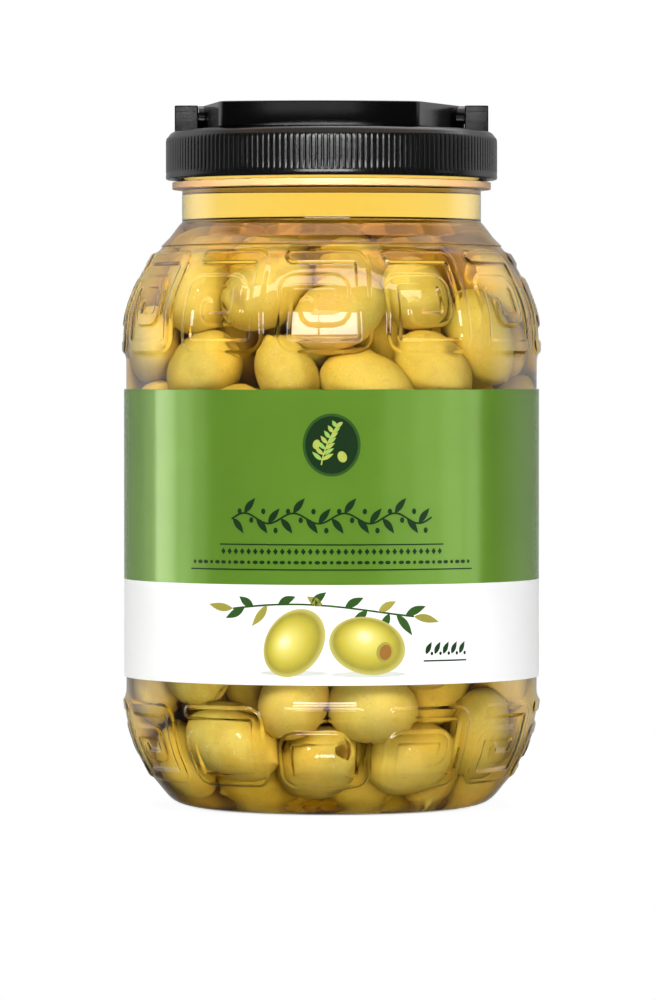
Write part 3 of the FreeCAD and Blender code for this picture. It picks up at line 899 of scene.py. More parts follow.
# the pit hole darkened towards brown: painted shade in the recess
base = m.mix(m.math("MULTIPLY", pit_shade_attr.outputs["Fac"], 0.85), base, (0.30, 0.15, 0.03))
b = m.bsdf(Roughness=0.42, IOR=1.38)
b.inputs["Specular IOR Level"].default_value = 0.2
b.inputs["Subsurface Weight"].default_value = 0.22
b.inputs["Subsurface Radius"].default_value = (1.0, 0.62, 0.18)
b.inputs["Subsurface Scale"].default_value = 0.004
m.link(base, b.inputs["Base Color"])
m.link(m.bump(m.noise(vec, 260.0, 3.0, 0.6), 0.22, 0.0004), b.inputs["Normal"])
m.link(b.outputs[0], m.out.inputs["Surface"])
olive_mat = m.m
order = np.argsort(centres[:, 2])
lower = order[:OLIVE_COUNT // 2]
upper = order[OLIVE_COUNT // 2:]
for nm, sel in (("olives_lower", lower), ("olives_upper", upper)):
    ob = build_olives(nm, sel, olive_mat)
    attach(ob, "jar")

# --------------------------------------------------------------- the label --
Z_EDGE = 77.6                                  # green above, white below


def shell(name, r, rows, col_deg, thick, mats, split, close=True):
    """A thin closed wrap between the first and last of rows, split in two
    colours at a height."""
    n = len(col_deg)
    t = np.radians(col_deg)
    V, F, FM = [], [], []
    for rad in (r, r - thick):
        for z in rows:
            V.append(np.stack([rad * np.sin(t), -rad * np.cos(t), np.full(n, z)], 1))
    V = np.vstack(V)
    k = len(rows)
    last = n if close else n - 1
    for i in range(k - 1):
        for j in range(last):
            jj = (j + 1) % n
            a, b2 = i * n, (i + 1) * n
            F.append((a + j, a + jj, b2 + jj, b2 + j)); FM.append(0 if rows[i] >= split else 1)
            a, b2 = (k + i) * n, (k + i + 1) * n
            F.append((a + jj, a + j, b2 + j, b2 + jj)); FM.append(1)
    for i, up_side in ((0, False), (k - 1, True)):
        a, b2 = i * n, (k + i) * n
        for j in range(last):
            jj = (j + 1) % n
            F.append((a + j, a + jj, b2 + jj, b2 + j) if up_side else (a + jj, a + j, b2 + j, b2 + jj))
            FM.append(1)
    if not close:
        for j, s in ((0, 1), (n - 1, -1)):
            for i in range(k - 1):
                q = (i * n + j, (i + 1) * n + j, (k + i + 1) * n + j, (k + i) * n + j)
                F.append(q if s > 0 else q[::-1]); FM.append(1)
    return make_mesh(name, V, F, mats=mats, face_mat=FM)


def printed(name, colour, rough, coat=0.0, grain=0.03, metal=0.0):
    m = Mat(name)
    vec = m.coords(1.0)
    soft = m.noise(vec, 45.0, 2.0)
    fine = m.noise(vec, 1400.0, 2.0)
    dark = tuple(c * (1 - grain) for c in colour)
    lite = tuple(min(1.0, c * (1 + grain)) for c in colour)
    c = m.mix(m.ramp(soft, [(0.35, (0, 0, 0)), (0.65, (1, 1, 1))]), dark, lite)
    b = m.bsdf(Roughness=rough, IOR=1.5)
    b.inputs["Specular IOR Level"].default_value = 0.04
    b.inputs["Coat IOR"].default_value = 1.22
    b.inputs["Metallic"].default_value = metal
    b.inputs["Coat Weight"].default_value = coat
    b.inputs["Coat Roughness"].default_value = 0.13
    m.link(c, b.inputs["Base Color"])
    m.link(m.bump(fine, 0.05, 0.0001), b.inputs["Normal"])
    m.link(b.outputs[0], m.out.inputs["Surface"])
    return m.m


green_mat = printed("label_green", (0.105, 0.217, 0.0225), 0.22, coat=0.45, metal=0.05)
white_mat = printed("label_white", (0.88, 0.88, 0.88), 0.5, grain=0.01, coat=0.1)
dark_mat = printed("print_dark", (0.010, 0.030, 0.010), 0.45)
deep_mat = printed("print_deep_green", (0.030, 0.085, 0.016), 0.45)
cream_mat = printed("print_leaf_green", (0.27, 0.47, 0.10), 0.45)
olive_b = printed("print_olive_shade", (0.32, 0.29, 0.05), 0.45, grain=0.10)
olive_c = printed("print_olive_glow", (0.88, 0.85, 0.52), 0.45, grain=0.05)
pit_mat = printed("print_olive_pit", (0.30, 0.13, 0.03), 0.45)
grey_mat = printed("print_soft_grey", (0.60, 0.62, 0.56), 0.5)

rows = sorted(set([Z_LABEL[0] + 0.0, Z_LABEL[0] + 0.2, Z_EDGE, Z_LABEL[1] - 0.2, Z_LABEL[1]]
                  + list(np.linspace(50, 138, 12))))
# the wrap laps over itself at the back
cols_l = np.linspace(-180.0, 180.0, COLS, endpoint=False)
wrap = shell("label_wrap", R_LABEL + 0.02, rows, cols_l, 0.30, [green_mat, white_mat], Z_EDGE)
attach(wrap, "jar"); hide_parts("label")
lap = shell("label_lap", R_LABEL + 0.17, rows, np.linspace(174.0, 181.2, 12), 0.14,
            [green_mat, white_mat], Z_EDGE, close=False)
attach(lap, "jar")


class Print:
    """Flat shapes wrapped on the label: x along the wrap in mm from the front,
    z height in mm; each level lies a hair over the one below."""

    def __init__(self, mats):
        self.mats = mats
        self.v, self.f, self.fm, self.tone = [], [], [], {}

    def polygon(self, pts, mat, level=1):
        pts = [tuple(p) for p in pts]
        v2 = [Vector(p) for p in pts]
        n = len(pts)
        # cut long shapes into strips so that they follow the curve
        xs = [p[0] for p in pts]
        lo, hi = min(xs), max(xs)
        extra, edges = [], [(i, (i + 1) % n) for i in range(n)]
        zlo, zhi = min(p[1] for p in pts) - 0.5, max(p[1] for p in pts) + 0.5
        k = int((hi - lo) / 1.5)
        for i in range(1, k + 1):
            x = lo + (hi - lo) * i / (k + 1)
            s = len(v2) + len(extra)
            extra += [Vector((x, zlo)), Vector((x, zhi))]
            edges.append((s, s + 1))
        vo, eo, fo, ov, oe, of = geometry.delaunay_2d_cdt(v2 + extra, edges, [], 0, 1e-6)
        base = len(self.v)
        r = R_LABEL + 0.05 + 0.03 * level
        for p in vo:
            t = p.x / R_LABEL
            self.v.append((r * math.sin(t), -r * math.cos(t), p.y))
        poly = pts

        def inside(x, z):
            c = False
            j = n - 1
            for i in range(n):
                if (poly[i][1] > z) != (poly[j][1] > z) and \
                   x < (poly[j][0] - poly[i][0]) * (z - poly[i][1]) / (poly[j][1] - poly[i][1]) + poly[i][0]:
                    c = not c
                j = i
            return c
        for f in fo:
            cx = sum(vo[i].x for i in f) / len(f)
            cz = sum(vo[i].y for i in f) / len(f)
            if not inside(cx, cz):
                continue
            a, b2, c2 = vo[f[0]], vo[f[1]], vo[f[2]]
            area = (b2.x - a.x) * (c2.y - a.y) - (b2.y - a.y) * (c2.x - a.x)
            g = list(f) if area > 0 else list(f)[::-1]
            self.f.append([base + i for i in g])
            self.fm.append(mat)

    def ellipse(self, x, z, a, b2, mat, level=1, turn=0.0, n=48):
        t = np.linspace(0, 2 * np.pi, n, endpoint=False)
        c, s = math.cos(turn), math.sin(turn)
        self.polygon([(x + a * math.cos(k) * c - b2 * math.sin(k) * s,
                       z + a * math.cos(k) * s + b2 * math.sin(k) * c) for k in t], mat, level)

    def leaf(self, x, z, length, width, turn, mat, level=1, n=14):
        p = []
        for s in (1, -1):
            seq = np.linspace(0, 1, n) if s > 0 else np.linspace(1, 0, n)[1:-1]
            for u in seq:
                w = width / 2 * math.sin(math.pi * u ** 0.85) * s
                p.append((u * length, w + 0.10 * length * u * (1 - u)))
        c, s = math.cos(turn), math.sin(turn)
        self.polygon([(x + a * c - b2 * s, z + a * s + b2 * c) for a, b2 in p], mat, level)

    def stroke(self, pts, width, mat, level=1):
        p = np.array(pts, float)
        d = np.gradient(p, axis=0)
        d /= np.linalg.norm(d, axis=1, keepdims=True)
        nrm = np.stack([-d[:, 1], d[:, 0]], 1) * width / 2
        self.polygon([tuple(q) for q in (p + nrm)] + [tuple(q) for q in (p - nrm)[::-1]], mat, level)

    def ring(self, x, z, r, width, mat, level=1, n=72):
        half = n // 2
        for k in (0, 1):
            t = np.linspace(k * math.pi, (k + 1) * math.pi, half)
            outer = [(x + (r + width / 2) * math.cos(a), z + (r + width / 2) * math.sin(a)) for a in t]
            inner = [(x + (r - width / 2) * math.cos(a), z + (r - width / 2) * math.sin(a)) for a in t[::-1]]
            self.polygon(outer + inner, mat, level)

    def ball(self, x, z, a, b2, turn, glow, level=2, n=56, rings=9):
        """A drawn fruit, shaded from its glow spot out to the rim."""
        c, s = math.cos(turn), math.sin(turn)
        r = R_LABEL + 0.05 + 0.03 * level
        base = len(self.v)
        for i in range(rings + 1):
            u = i / rings
            for t in np.linspace(0, 2 * np.pi, n, endpoint=False):
                px = glow[0] * (1 - u) + u * math.cos(t)
                pz = glow[1] * (1 - u) + u * math.sin(t)
                gx, gz = x + px * a * c - pz * b2 * s, z + px * a * s + pz * b2 * c
                w = gx / R_LABEL
                self.v.append((r * math.sin(w), -r * math.cos(w), gz))
                self.tone[len(self.v) - 1] = u
        for i in range(rings):
            for j in range(n):
                k = (j + 1) % n
                q = [base + i * n + j, base + (i + 1) * n + j, base + (i + 1) * n + k, base + i * n + k]
                self.f.append(q if i else q[0:3])
                self.fm.append(3)

    def make(self, name):
        ob = make_mesh(name, self.v, self.f, mats=self.mats, face_mat=self.fm)
        t = np.zeros(len(self.v))
        for i, u in self.tone.items():
            t[i] = u
        point_attr(ob, "tone", t)
        v = np.array(self.v)
        n = v.copy()
        n[:, 2] = 0
        n /= np.linalg.norm(n, axis=1, keepdims=True)
        ob.data.normals_split_custom_set_from_vertices(n.tolist())
        return ob


m = Mat("print_olive_shaded")
attr = m.node("ShaderNodeAttribute"); attr.attribute_name = "tone"
skin = m.ramp(attr.outputs["Fac"], [(0.0, (0.90, 0.87, 0.60)), (0.28, (0.74, 0.66, 0.16)), (0.62, (0.47, 0.40, 0.045)),
                                    (0.86, (0.26, 0.235, 0.03)), (1.0, (0.50, 0.46, 0.16))])
skin = m.mix(m.math("MULTIPLY", m.noise(m.coords(1.0), 320.0, 3.0), 0.35), skin, (0.62, 0.50, 0.08))
b = m.bsdf(Roughness=0.5)
b.inputs["Specular IOR Level"].default_value = 0.05
m.link(skin, b.inputs["Base Color"])
m.link(b.outputs[0], m.out.inputs["Surface"])
olive_a = m.m
olive_leafy = printed("print_olive_light", (0.40, 0.46, 0.09), 0.45, grain=0.10)
pr = Print([dark_mat, deep_mat, cream_mat, olive_a, olive_b, olive_c, pit_mat, grey_mat, olive_leafy])
DARK, DEEP, CREAM, OBALL, OB, OC, PIT, GREY, OA = range(9)
# a round badge holding a branching sprig
bx, bz = 0.0, 123.9
pr.ellipse(bx, bz, 9.6, 10.4, DEEP, 1, n=72)
pr.ellipse(bx, bz, 8.7, 9.5, DARK, 2, n=72)
stem = [(bx - 3.4 + 1.9 * u + 3.6 * u * u, bz - 6.6 + 13.2 * u) for u in np.linspace(0, 1, 24)]
pr.stroke(stem, 0.42, OA, 3)
for i, u in enumerate(np.linspace(0.12, 0.95, 7)):
    sx, sz = bx - 3.4 + 1.9 * u + 3.6 * u * u, bz - 6.6 + 13.2 * u
    l = 4.6 * (1 - 0.45 * u)
    pr.leaf(sx, sz, l, 1.35, math.radians(142 - 20 * u), OA if i % 2 else CREAM, 3)
    pr.leaf(sx, sz, l, 1.35, math.radians(28 + 12 * u), CREAM if i % 2 else OA, 3)
pr.ellipse(bx + 3.5, bz - 3.9, 1.5, 1.9, OA, 4, turn=0.4, n=28)
pr.ellipse(bx - 5.0, bz + 0.2, 1.2, 1.6, OA, 4, turn=-0.3, n=28)
# a frieze of dark leaves on a wavy stem
wave = [(x, 99.6 + 1.7 * math.sin(2 * math.pi * x / 17.0)) for x in np.linspace(-34.5, 34.5, 150)]
pr.stroke(wave, 0.62, DARK, 1)
for i, x in enumerate(np.arange(-34.0, 32.0, 4.25)):
    z = 99.6 + 1.7 * math.sin(2 * math.pi * x / 17.0)
    s = 1 if i % 2 else -1
    pr.leaf(x, z, 6.4, 2.2, math.radians(s * 52), DARK, 1)
    pr.ellipse(x + 2.5, z - s * 2.3, 0.75, 0.95, DARK, 1, n=20)
# two fine ruled lines with a bead row between, and a row of small lozenges
pr.stroke([(x, 90.9) for x in np.linspace(-39, 39, 60)], 0.45, DARK, 1)
pr.stroke([(x, 82.6) for x in np.linspace(-51, 51, 76)], 0.45, DARK, 1)
for i in range(-16, 17):
    x = i * 2.35
    pr.polygon([(x - 0.85, 88.6), (x, 87.5), (x + 0.85, 88.6), (x, 89.7)], DARK, 1)
for i in range(-21, 22):
    pr.ellipse(i * 2.35, 85.0, 0.95 if i % 3 else 0.6, 0.6, DARK, 1, n=18)
# a sprig with two drawn fruits on the white band


def drawn_olive(x, z, a, b2, turn, pit=None):
    pr.ball(x, z, a, b2, turn, (-0.16, 0.36))
    if pit:
        c, s = math.cos(turn), math.sin(turn)
        ex, ez = x + pit * a * c + 0.08 * b2 * s, z + pit * a * s - 0.08 * b2 * c
        pr.ellipse(ex, ez, b2 * 0.29, b2 * 0.35, OB, 4, turn)
        pr.ellipse(ex + 0.3, ez - 0.1, b2 * 0.21, b2 * 0.27, PIT, 5, turn)


def spray(u):
    return -34 + 62 * u, 68.6 + 2.6 * math.sin(0.4 + 3.4 * u)


pr.stroke([spray(u) for u in np.linspace(0, 1, 70)], 0.6, DEEP, 1)
for k, (u, turn, l) in enumerate(((0.0, 172, 9.5), (0.07, 208, 8.0), (0.12, 148, 6.0), (0.20, -128, 9), (0.26, 24, 6.5),
                                  (0.44, 40, 6.5), (0.50, 150, 6.0), (0.62, 28, 7.0), (0.74, -142, 7),
                                  (0.80, 30, 7.0), (0.90, -52, 9), (0.95, 22, 8), (1.0, -12, 9.5), (0.86, -118, 7))):
    px, pz = spray(u)
    pr.leaf(px, pz, l, 2.7, math.radians(turn), DEEP if k % 3 else OB, 1)
pr.ellipse(-12.6, 48.4, 11.4, 0.9, GREY, 1)
pr.ellipse(12.4, 48.0, 12.6, 1.0, GREY, 1)
drawn_olive(-12.5, 58.4, 12.2, 9.4, 0.95)
drawn_olive(12.0, 57.4, 13.0, 9.5, -0.22, 0.46)
pr.stroke([(x, 52.2) for x in np.linspace(31.5, 48.5, 14)], 0.5, DARK, 1)
for i in range(5):
    pr.leaf(32.4 + i * 3.3, 54.4, 4.6, 1.8, math.radians(62), DARK, 1)
    pr.ellipse(34.6 + i * 3.3, 54.6, 0.5, 0.62, DARK, 1, n=18)
art = pr.make("label_print")
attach(art, "jar")


# ----------------------------------------------------------------- the cap --
def black_plastic(name, rough, grain_scale, grain, spec=0.5):
    m = Mat(name)
    vec = m.coords(1.0)
    c = m.mix(m.ramp(m.noise(vec, 60.0, 3.0), [(0.3, (0, 0, 0)), (0.7, (1, 1, 1))]),
              (0.0035, 0.0035, 0.0037), (0.0060, 0.0060, 0.0062))
    b = m.bsdf(IOR=1.5)
    b.inputs["Specular IOR Level"].default_value = spec
    m.link(c, b.inputs["Base Color"])
    r = m.node("ShaderNodeMapRange")
    r.inputs[3].default_value = rough - 0.05
    r.inputs[4].default_value = rough + 0.06
    m.link(m.noise(vec, 180.0, 3.0), r.inputs[0])
    m.link(r.outputs[0], b.inputs["Roughness"])
    h = m.noise(vec, grain_scale, 3.0, 0.6)
    m.link(m.bump(h, grain, 0.0002), b.inputs["Normal"])
    m.link(b.outputs[0], m.out.inputs["Surface"])
    return m.m


cap_mat = black_plastic("black_plastic", 0.20, 1400.0, 0.10, 0.24)
lug_mat = black_plastic("black_plastic_lug", 0.42, 700.0, 0.35, 0.18)
grip_mat = black_plastic("black_plastic_grip", 0.20, 900.0, 0.10)
R_CAP, RIB_DEPTH, RIBS = 56.6, 0.28, 176
PER = 8
nc = RIBS * PER
tc = np.arange(nc) * 2 * math.pi / nc
ph = (np.arange(nc) % PER) / PER
# a flat crest and a narrow valley
crest = np.clip(1.5 * np.cos(2 * np.pi * ph) * 0.5 + 1.02, 0, 1)
crest = smoothstep(crest)
R_CORE = R_CAP - RIB_DEPTH
cap_rows = [(53.4, 227.5, 0), (53.4, 225.5, 0), (53.4, 214.2, 0), (53.6, 213.65, 0), (54.4, 213.6, 0),
            (56.1, 213.6, 0), (56.45, 213.75, 0), (56.6, 214.1, 0), (56.6, 215.0, 0), (56.5, 215.4, 0),
            (56.2, 215.75, 0.0), (56.2, 216.0, 0.35), (56.2, 216.4, 1), (56.2, 219, 1), (56.2, 222, 1), (56.2, 225.6, 1),
            (56.2, 226.6, 0.9), (56.1, 227.2, 0.55), (55.98, 227.6, 0.12), (55.8, 228.1, 0), (55.4, 228.75, 0),
            (54.8, 229.4, 0), (53.9, 229.85, 0), (53.0, 230.1, 0), (52.0, 230.2, 0), (50.6, 230.2, 0)]
V, F = [], []
for r, z, k in cap_rows:
    if k > 0:
        rr = R_CORE + (RIB_DEPTH - 0.02) * crest * k
        if k < 1:
            rr = rr + (1 - k) * 0.25 * (1 if z < 220 else 0)
    else:
        rr = np.full(nc, r) if not 215.5 < z < 216 else np.full(nc, R_CORE + 0.25)
    V.append(np.stack([rr * np.cos(tc), rr * np.sin(tc), np.full(nc, z)], 1))
V = np.vstack(V)
for i in range(len(cap_rows) - 1):
    for j in range(nc):
        k = (j + 1) % nc
        F.append((i * nc + j, i * nc + k, (i + 1) * nc + k, (i + 1) * nc + j))
i = (len(cap_rows) - 1) * nc
plate_c = len(V)
V = np.vstack([V, [[0, 0, 230.2]], [[0, 0, 227.5]]])
# inner rings of the plate, then the middle
for j in range(nc):
    k = (j + 1) % nc
    F.append((i + j, i + k, plate_c))
    F.append((k, j, plate_c + 1))
cap = make_mesh("cap_shell", V, F, mats=[cap_mat])
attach(cap, "jar"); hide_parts("cap")


def rounded_box(bm, x0, x1, y0, y1, z0, z1, r):
    res = bmesh.ops.create_cube(bm, size=1.0)
    for v in res["verts"]:
        v.co = Vector(((x0 + x1) / 2 + v.co.x * (x1 - x0), (y0 + y1) / 2 + v.co.y * (y1 - y0),
                       (z0 + z1) / 2 + v.co.z * (z1 - z0)))
    es = list({e for v in res["verts"] for e in v.link_edges})
    bmesh.ops.bevel(bm, geom=es, offset=r, segments=3, profile=0.5, affect="EDGES")


def from_bmesh(name, bm, mat, smooth_angle=40):
    for v in bm.verts:
        v.co *= MM
    me = bpy.data.meshes.new(name)
    bm.to_mesh(me)
    bm.free()
    me.materials.append(mat)
    me.polygons.foreach_set("use_smooth", np.ones(len(me.polygons), bool))
    me.set_sharp_from_angle(angle=math.radians(smooth_angle))
    me.update()
    ob = bpy.data.objects.new(name, me)
    scene.collection.objects.link(ob)
    return ob


LUG_IN, LUG_OUT, AXIS_Z = 45.5, 53.5, 234.7
bm = bmesh.new()
for s in (-1, 1):
    xa, xb = sorted((s * LUG_IN, s * LUG_OUT))
    rounded_box(bm, xa, xb, -4.0, 4.0, 229.6, 238.9, 0.45)
    # a faint sink line and gate mark across the front and outer faces
    for zc in (233.4, 236.9):
        rounded_box(bm, xa + 0.9, xb - 0.9, -4.06, -3.6, zc - 0.16, zc + 0.16, 0.05)
        rounded_box(bm, xa + 0.9, xb - 0.9, 3.6, 4.06, zc - 0.16, zc + 0.16, 0.05)
lugs = from_bmesh("cap_lugs", bm, lug_mat, 35)
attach(lugs, "jar")

# -------------------------------------------------------------- the handle --
GRIP_FRONT, GRIP_RADIUS, GRIP_HALF, GRIP_LEAN, THICK = 43.5, 110.0, 33.7, -4.0, 3.0
sag = GRIP_RADIUS - math.sqrt(GRIP_RADIUS ** 2 - GRIP_HALF ** 2)
mid = THICK / 2
pa = np.array((-(44.0 - mid), 0.2))
pb = np.array((GRIP_LEAN - GRIP_HALF + mid, -(GRIP_FRONT - sag) + mid))
pd = np.array((GRIP_LEAN + GRIP_HALF - mid, -(GRIP_FRONT - sag) + mid))
pe = np.array((44.0 - mid, 0.2))
half_ang = math.asin(GRIP_HALF / GRIP_RADIUS)
arc = [np.array((GRIP_LEAN + (GRIP_RADIUS - mid) * math.sin(a),
                 -(GRIP_FRONT - mid) + (GRIP_RADIUS - mid) * (1 - math.cos(a))))
       for a in np.linspace(-half_ang * 0.955, half_ang * 0.955, 41)]


def corner(p0, p1, p2, r, n=9):
    d0 = (p1 - p0) / np.linalg.norm(p1 - p0)
    d1 = (p2 - p1) / np.linalg.norm(p2 - p1)
    ang = math.acos(float(d0 @ d1))
    t = r * math.tan(ang / 2)
    a = p1 - d0 * t
    s = 1 if d0[0] * d1[1] - d0[1] * d1[0] > 0 else -1
    c = a + np.array([-d0[1], d0[0]]) * s * r
    q = a - c
    out = []
    for j in range(n + 1):
        th = s * ang * j / n
        out.append(c + np.array([math.cos(th) * q[0] - math.sin(th) * q[1],
                                 math.sin(th) * q[0] + math.cos(th) * q[1]]))
    return out


left = corner(pa, pb, arc[1], 3.2)
right = corner(arc[-2], pd, pe, 3.2)
mid_arc = [p for p in arc if left[-1][0] + 0.5 < p[0] < right[0][0] - 0.5]
arm_l = [pa + (left[0] - pa) * u for u in np.linspace(0, 1, 9)[:-1]]
arm_r = [right[-1] + (pe - right[-1]) * u for u in np.linspace(0, 1, 9)[1:]]
plan = np.array(arm_l + left + mid_arc + right + arm_r)
tan = np.gradient(plan, axis=0)
tan /= np.linalg.norm(tan, axis=1, keepdims=True)
nor = np.stack([-tan[:, 1], tan[:, 0]], 1)
z0, z1 = 230.26, 238.9
rr = 0.55
sec = []
for cx, cz, a0 in ((mid - rr, z0 + rr, -90), (mid - rr, z1 - rr, 0), (-mid + rr, z1 - rr, 90), (-mid + rr, z0 + rr, 180)):
    for a in np.linspace(a0, a0 + 90, 5):
        sec.append((cx + rr * math.cos(math.radians(a)), cz + rr * math.sin(math.radians(a))))
sec = np.array(sec)
k = len(sec)
V = []
for p, n_ in zip(plan, nor):
    for o, z in sec:
        V.append((p[0] + n_[0] * o, p[1] + n_[1] * o, z))
F = []
for i in range(len(plan) - 1):
    for j in range(k):
        jj = (j + 1) % k
        F.append((i * k + j, (i + 1) * k + j, (i + 1) * k + jj, i * k + jj))
F.append(tuple(range(k)))
F.append(tuple((len(plan) - 1) * k + j for j in range(k))[::-1])
bm = bmesh.new()
vs = [bm.verts.new(v) for v in V]
for f in F:
    bm.faces.new([vs[i] for i in f])
bmesh.ops.recalc_face_normals(bm, faces=bm.faces)


def disc(bm, x0, x1, r, bevel, seg=40):
    res = bmesh.ops.create_cone(bm, cap_ends=True, segments=seg, radius1=r, radius2=r, depth=abs(x1 - x0))
    rot = Matrix.Rotation(math.radians(90), 4, "Y")
    for v in res["verts"]:
        v.co = rot @ v.co + Vector(((x0 + x1) / 2, 0, AXIS_Z))
    if bevel:
        es = [e for e in {e for v in res["verts"] for e in v.link_edges}
              if abs(e.verts[0].co.x - e.verts[1].co.x) < 1e-4]
        bmesh.ops.bevel(bm, geom=es, offset=bevel, segments=3, profile=0.5, affect="EDGES")


for s in (-1, 1):
    disc(bm, s * 40.8, s * 45.42, 4.1, 0.3)
    disc(bm, s * 44.2, s * 49.8, 2.0, 0.2, 24)
handle = from_bmesh("carry_handle", bm, grip_mat, 35)
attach(handle, "handle"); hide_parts("handle")

# ---------------------------------------------- floor, light and the camera --
floor = bpy.data.objects.new("floor", bpy.data.meshes.new("floor"))
bm = bmesh.new()
bmesh.ops.create_circle(bm, cap_ends=True, segments=96, radius=0.55)
bm.to_mesh(floor.data)
bm.free()
scene.collection.objects.link(floor)
floor.location = (0, 0, -0.0002)
m = Mat("pale_floor")
t = m.node("ShaderNodeTexCoord")
ln = m.node("ShaderNodeVectorMath"); ln.operation = "LENGTH"
m.link(t.outputs["Object"], ln.inputs[0])
fade = m.ramp(m.math("DIVIDE", ln.outputs["Value"], 0.55), [(0.30, (0, 0, 0)), (0.92, (1, 1, 1))], "EASE")
d = m.node("ShaderNodeBsdfDiffuse"); d.inputs["Color"].default_value = (0.86, 0.86, 0.86, 1)
e = m.node("ShaderNodeEmission"); e.inputs["Color"].default_value = (1, 1, 1, 1); e.inputs["Strength"].default_value = 0.66
# the floor glows evenly white except under the jar, where the glow is cut off within 45 to 49 mm of the axis: a painted
# contact shadow
glow = m.math("MULTIPLY", m.ramp(m.math("DIVIDE", ln.outputs["Value"], 0.2), [(0.225, (0, 0, 0)), (0.245, (1, 1, 1))]), 0.97)
m.link(glow, e.inputs["Strength"])
add = m.node("ShaderNodeAddShader")
m.link(d.outputs[0], add.inputs[0]); m.link(e.outputs[0], add.inputs[1])
tr = m.node("ShaderNodeBsdfTransparent")
mx = m.node("ShaderNodeMixShader")
m.link(fade, mx.inputs[0]); m.link(add.outputs[0], mx.inputs[1]); m.link(tr.outputs[0], mx.inputs[2])
m.link(mx.outputs[0], m.out.inputs["Surface"])
floor.data.materials.append(m.m)
floor.visible_glossy = False
floor.visible_transmission = False

world = bpy.data.worlds.new("studio")
scene.world = world
world.use_nodes = True
nt = world.node_tree
nt.nodes.clear()
wo = nt.nodes.new("ShaderNodeOutputWorld")
bg_cam = nt.nodes.new("ShaderNodeBackground"); bg_cam.inputs[0].default_value = (1, 1, 1, 1)
bg = nt.nodes.new("ShaderNodeBackground")
tc_ = nt.nodes.new("ShaderNodeTexCoord")
sp = nt.nodes.new("ShaderNodeSeparateXYZ")
nt.links.new(tc_.outputs["Generated"], sp.inputs[0])
mr = nt.nodes.new("ShaderNodeMapRange")
mr.interpolation_type = "SMOOTHSTEP"
mr.inputs[1].default_value, mr.inputs[2].default_value = 0.10, 0.45
mr.inputs[3].default_value, mr.inputs[4].default_value = 0.07, 1.12
nt.links.new(sp.outputs["Y"], mr.inputs[0])
mz = nt.nodes.new("ShaderNodeMapRange")
mz.interpolation_type = "SMOOTHSTEP"
mz.inputs[1].default_value, mz.inputs[2].default_value = -0.45, -0.06
mz.inputs[3].default_value, mz.inputs[4].default_value = 0.06, 1.0
nt.links.new(sp.outputs["Z"], mz.inputs[0])
mm = nt.nodes.new("ShaderNodeMath"); mm.operation = "MULTIPLY"
nt.links.new(mr.outputs[0], mm.inputs[0])
nt.links.new(mz.outputs[0], mm.inputs[1])
nt.links.new(mm.outputs[0], bg.inputs[1])
bg.inputs[0].default_value = (1.0, 1.0, 1.0, 1)
world.cycles_visibility.diffuse = False
lp = nt.nodes.new("ShaderNodeLightPath")
back_dim = nt.nodes.new("ShaderNodeMapRange")
back_dim.inputs[1].default_value, back_dim.inputs[2].default_value = 0.60, 0.85
back_dim.inputs[3].default_value, back_dim.inputs[4].default_value = 0.0, 0.60
nt.links.new(sp.outputs["Y"], back_dim.inputs[0])
gl = nt.nodes.new("ShaderNodeMath"); gl.operation = "SUBTRACT"; gl.use_clamp = True
nt.links.new(lp.outputs["Is Glossy Ray"], gl.inputs[0])
nt.links.new(lp.outputs["Is Transmission Ray"], gl.inputs[1])
cut = nt.nodes.new("ShaderNodeMath"); cut.operation = "MULTIPLY"
nt.links.new(gl.outputs[0], cut.inputs[0])
nt.links.new(back_dim.outputs[0], cut.inputs[1])
keep_ = nt.nodes.new("ShaderNodeMath"); keep_.operation = "SUBTRACT"
keep_.inputs[0].default_value = 1.0
nt.links.new(cut.outputs[0], keep_.inputs[1])
m3 = nt.nodes.new("ShaderNodeMath"); m3.operation = "MULTIPLY"
nt.links.new(mm.outputs[0], m3.inputs[0])
nt.links.new(keep_.outputs[0], m3.inputs[1])
nt.links.new(m3.outputs[0], bg.inputs[1])
band = nt.nodes.new("ShaderNodeValToRGB")
for e_, (p_, c_) in zip([band.color_ramp.elements[0], band.color_ramp.elements[1], band.color_ramp.elements.new(0.5),
                         band.color_ramp.elements.new(0.6)],
                        ((0.76, 0.0), (0.95, 0.0), (0.82, 1.0), (0.89, 1.0))):
    e_.position = p_
    e_.color = (c_, 0.72 * c_, 0.55 * c_, 1.0)
nt.links.new(sp.outputs["Z"], band.inputs["Fac"])
bg_band = nt.nodes.new("ShaderNodeBackground")
bg_band.inputs[1].default_value = 1.3
nt.links.new(band.outputs["Color"], bg_band.inputs[0])
both = nt.nodes.new("ShaderNodeAddShader")
nt.links.new(bg.outputs[0], both.inputs[0])
nt.links.new(bg_band.outputs[0], both.inputs[1])
mixw = nt.nodes.new("ShaderNodeMixShader")
nt.links.new(lp.outputs["Is Camera Ray"], mixw.inputs[0])
nt.links.new(both.outputs[0], mixw.inputs[1])
nt.links.new(bg_cam.outputs[0], mixw.inputs[2])
nt.links.new(mixw.outputs[0], wo.inputs["Surface"])


def panel(name, azimuth, elevation, distance, width, height, power, target=(0, 0, 0.12), camera=False):
    a, e = math.radians(azimuth), math.radians(elevation)
    p = Vector(target) + distance * Vector((math.sin(a) * math.cos(e), -math.cos(a) * math.cos(e), math.sin(e)))
    l = bpy.data.lights.new(name, "AREA")
    l.shape = "RECTANGLE"
    l.size, l.size_y = width, height
    l.energy = power
    ob = bpy.data.objects.new(name, l)
    ob.location = p
    ob.rotation_mode = "QUATERNION"
    ob.rotation_quaternion = (Vector(target) - p).to_track_quat("-Z", "Y")
    ob.visible_camera = camera
    scene.collection.objects.link(ob)
    return ob


def group(name, obs):
    col = bpy.data.collections.new(name)
    for o in obs:
        col.objects.link(o)
    return col


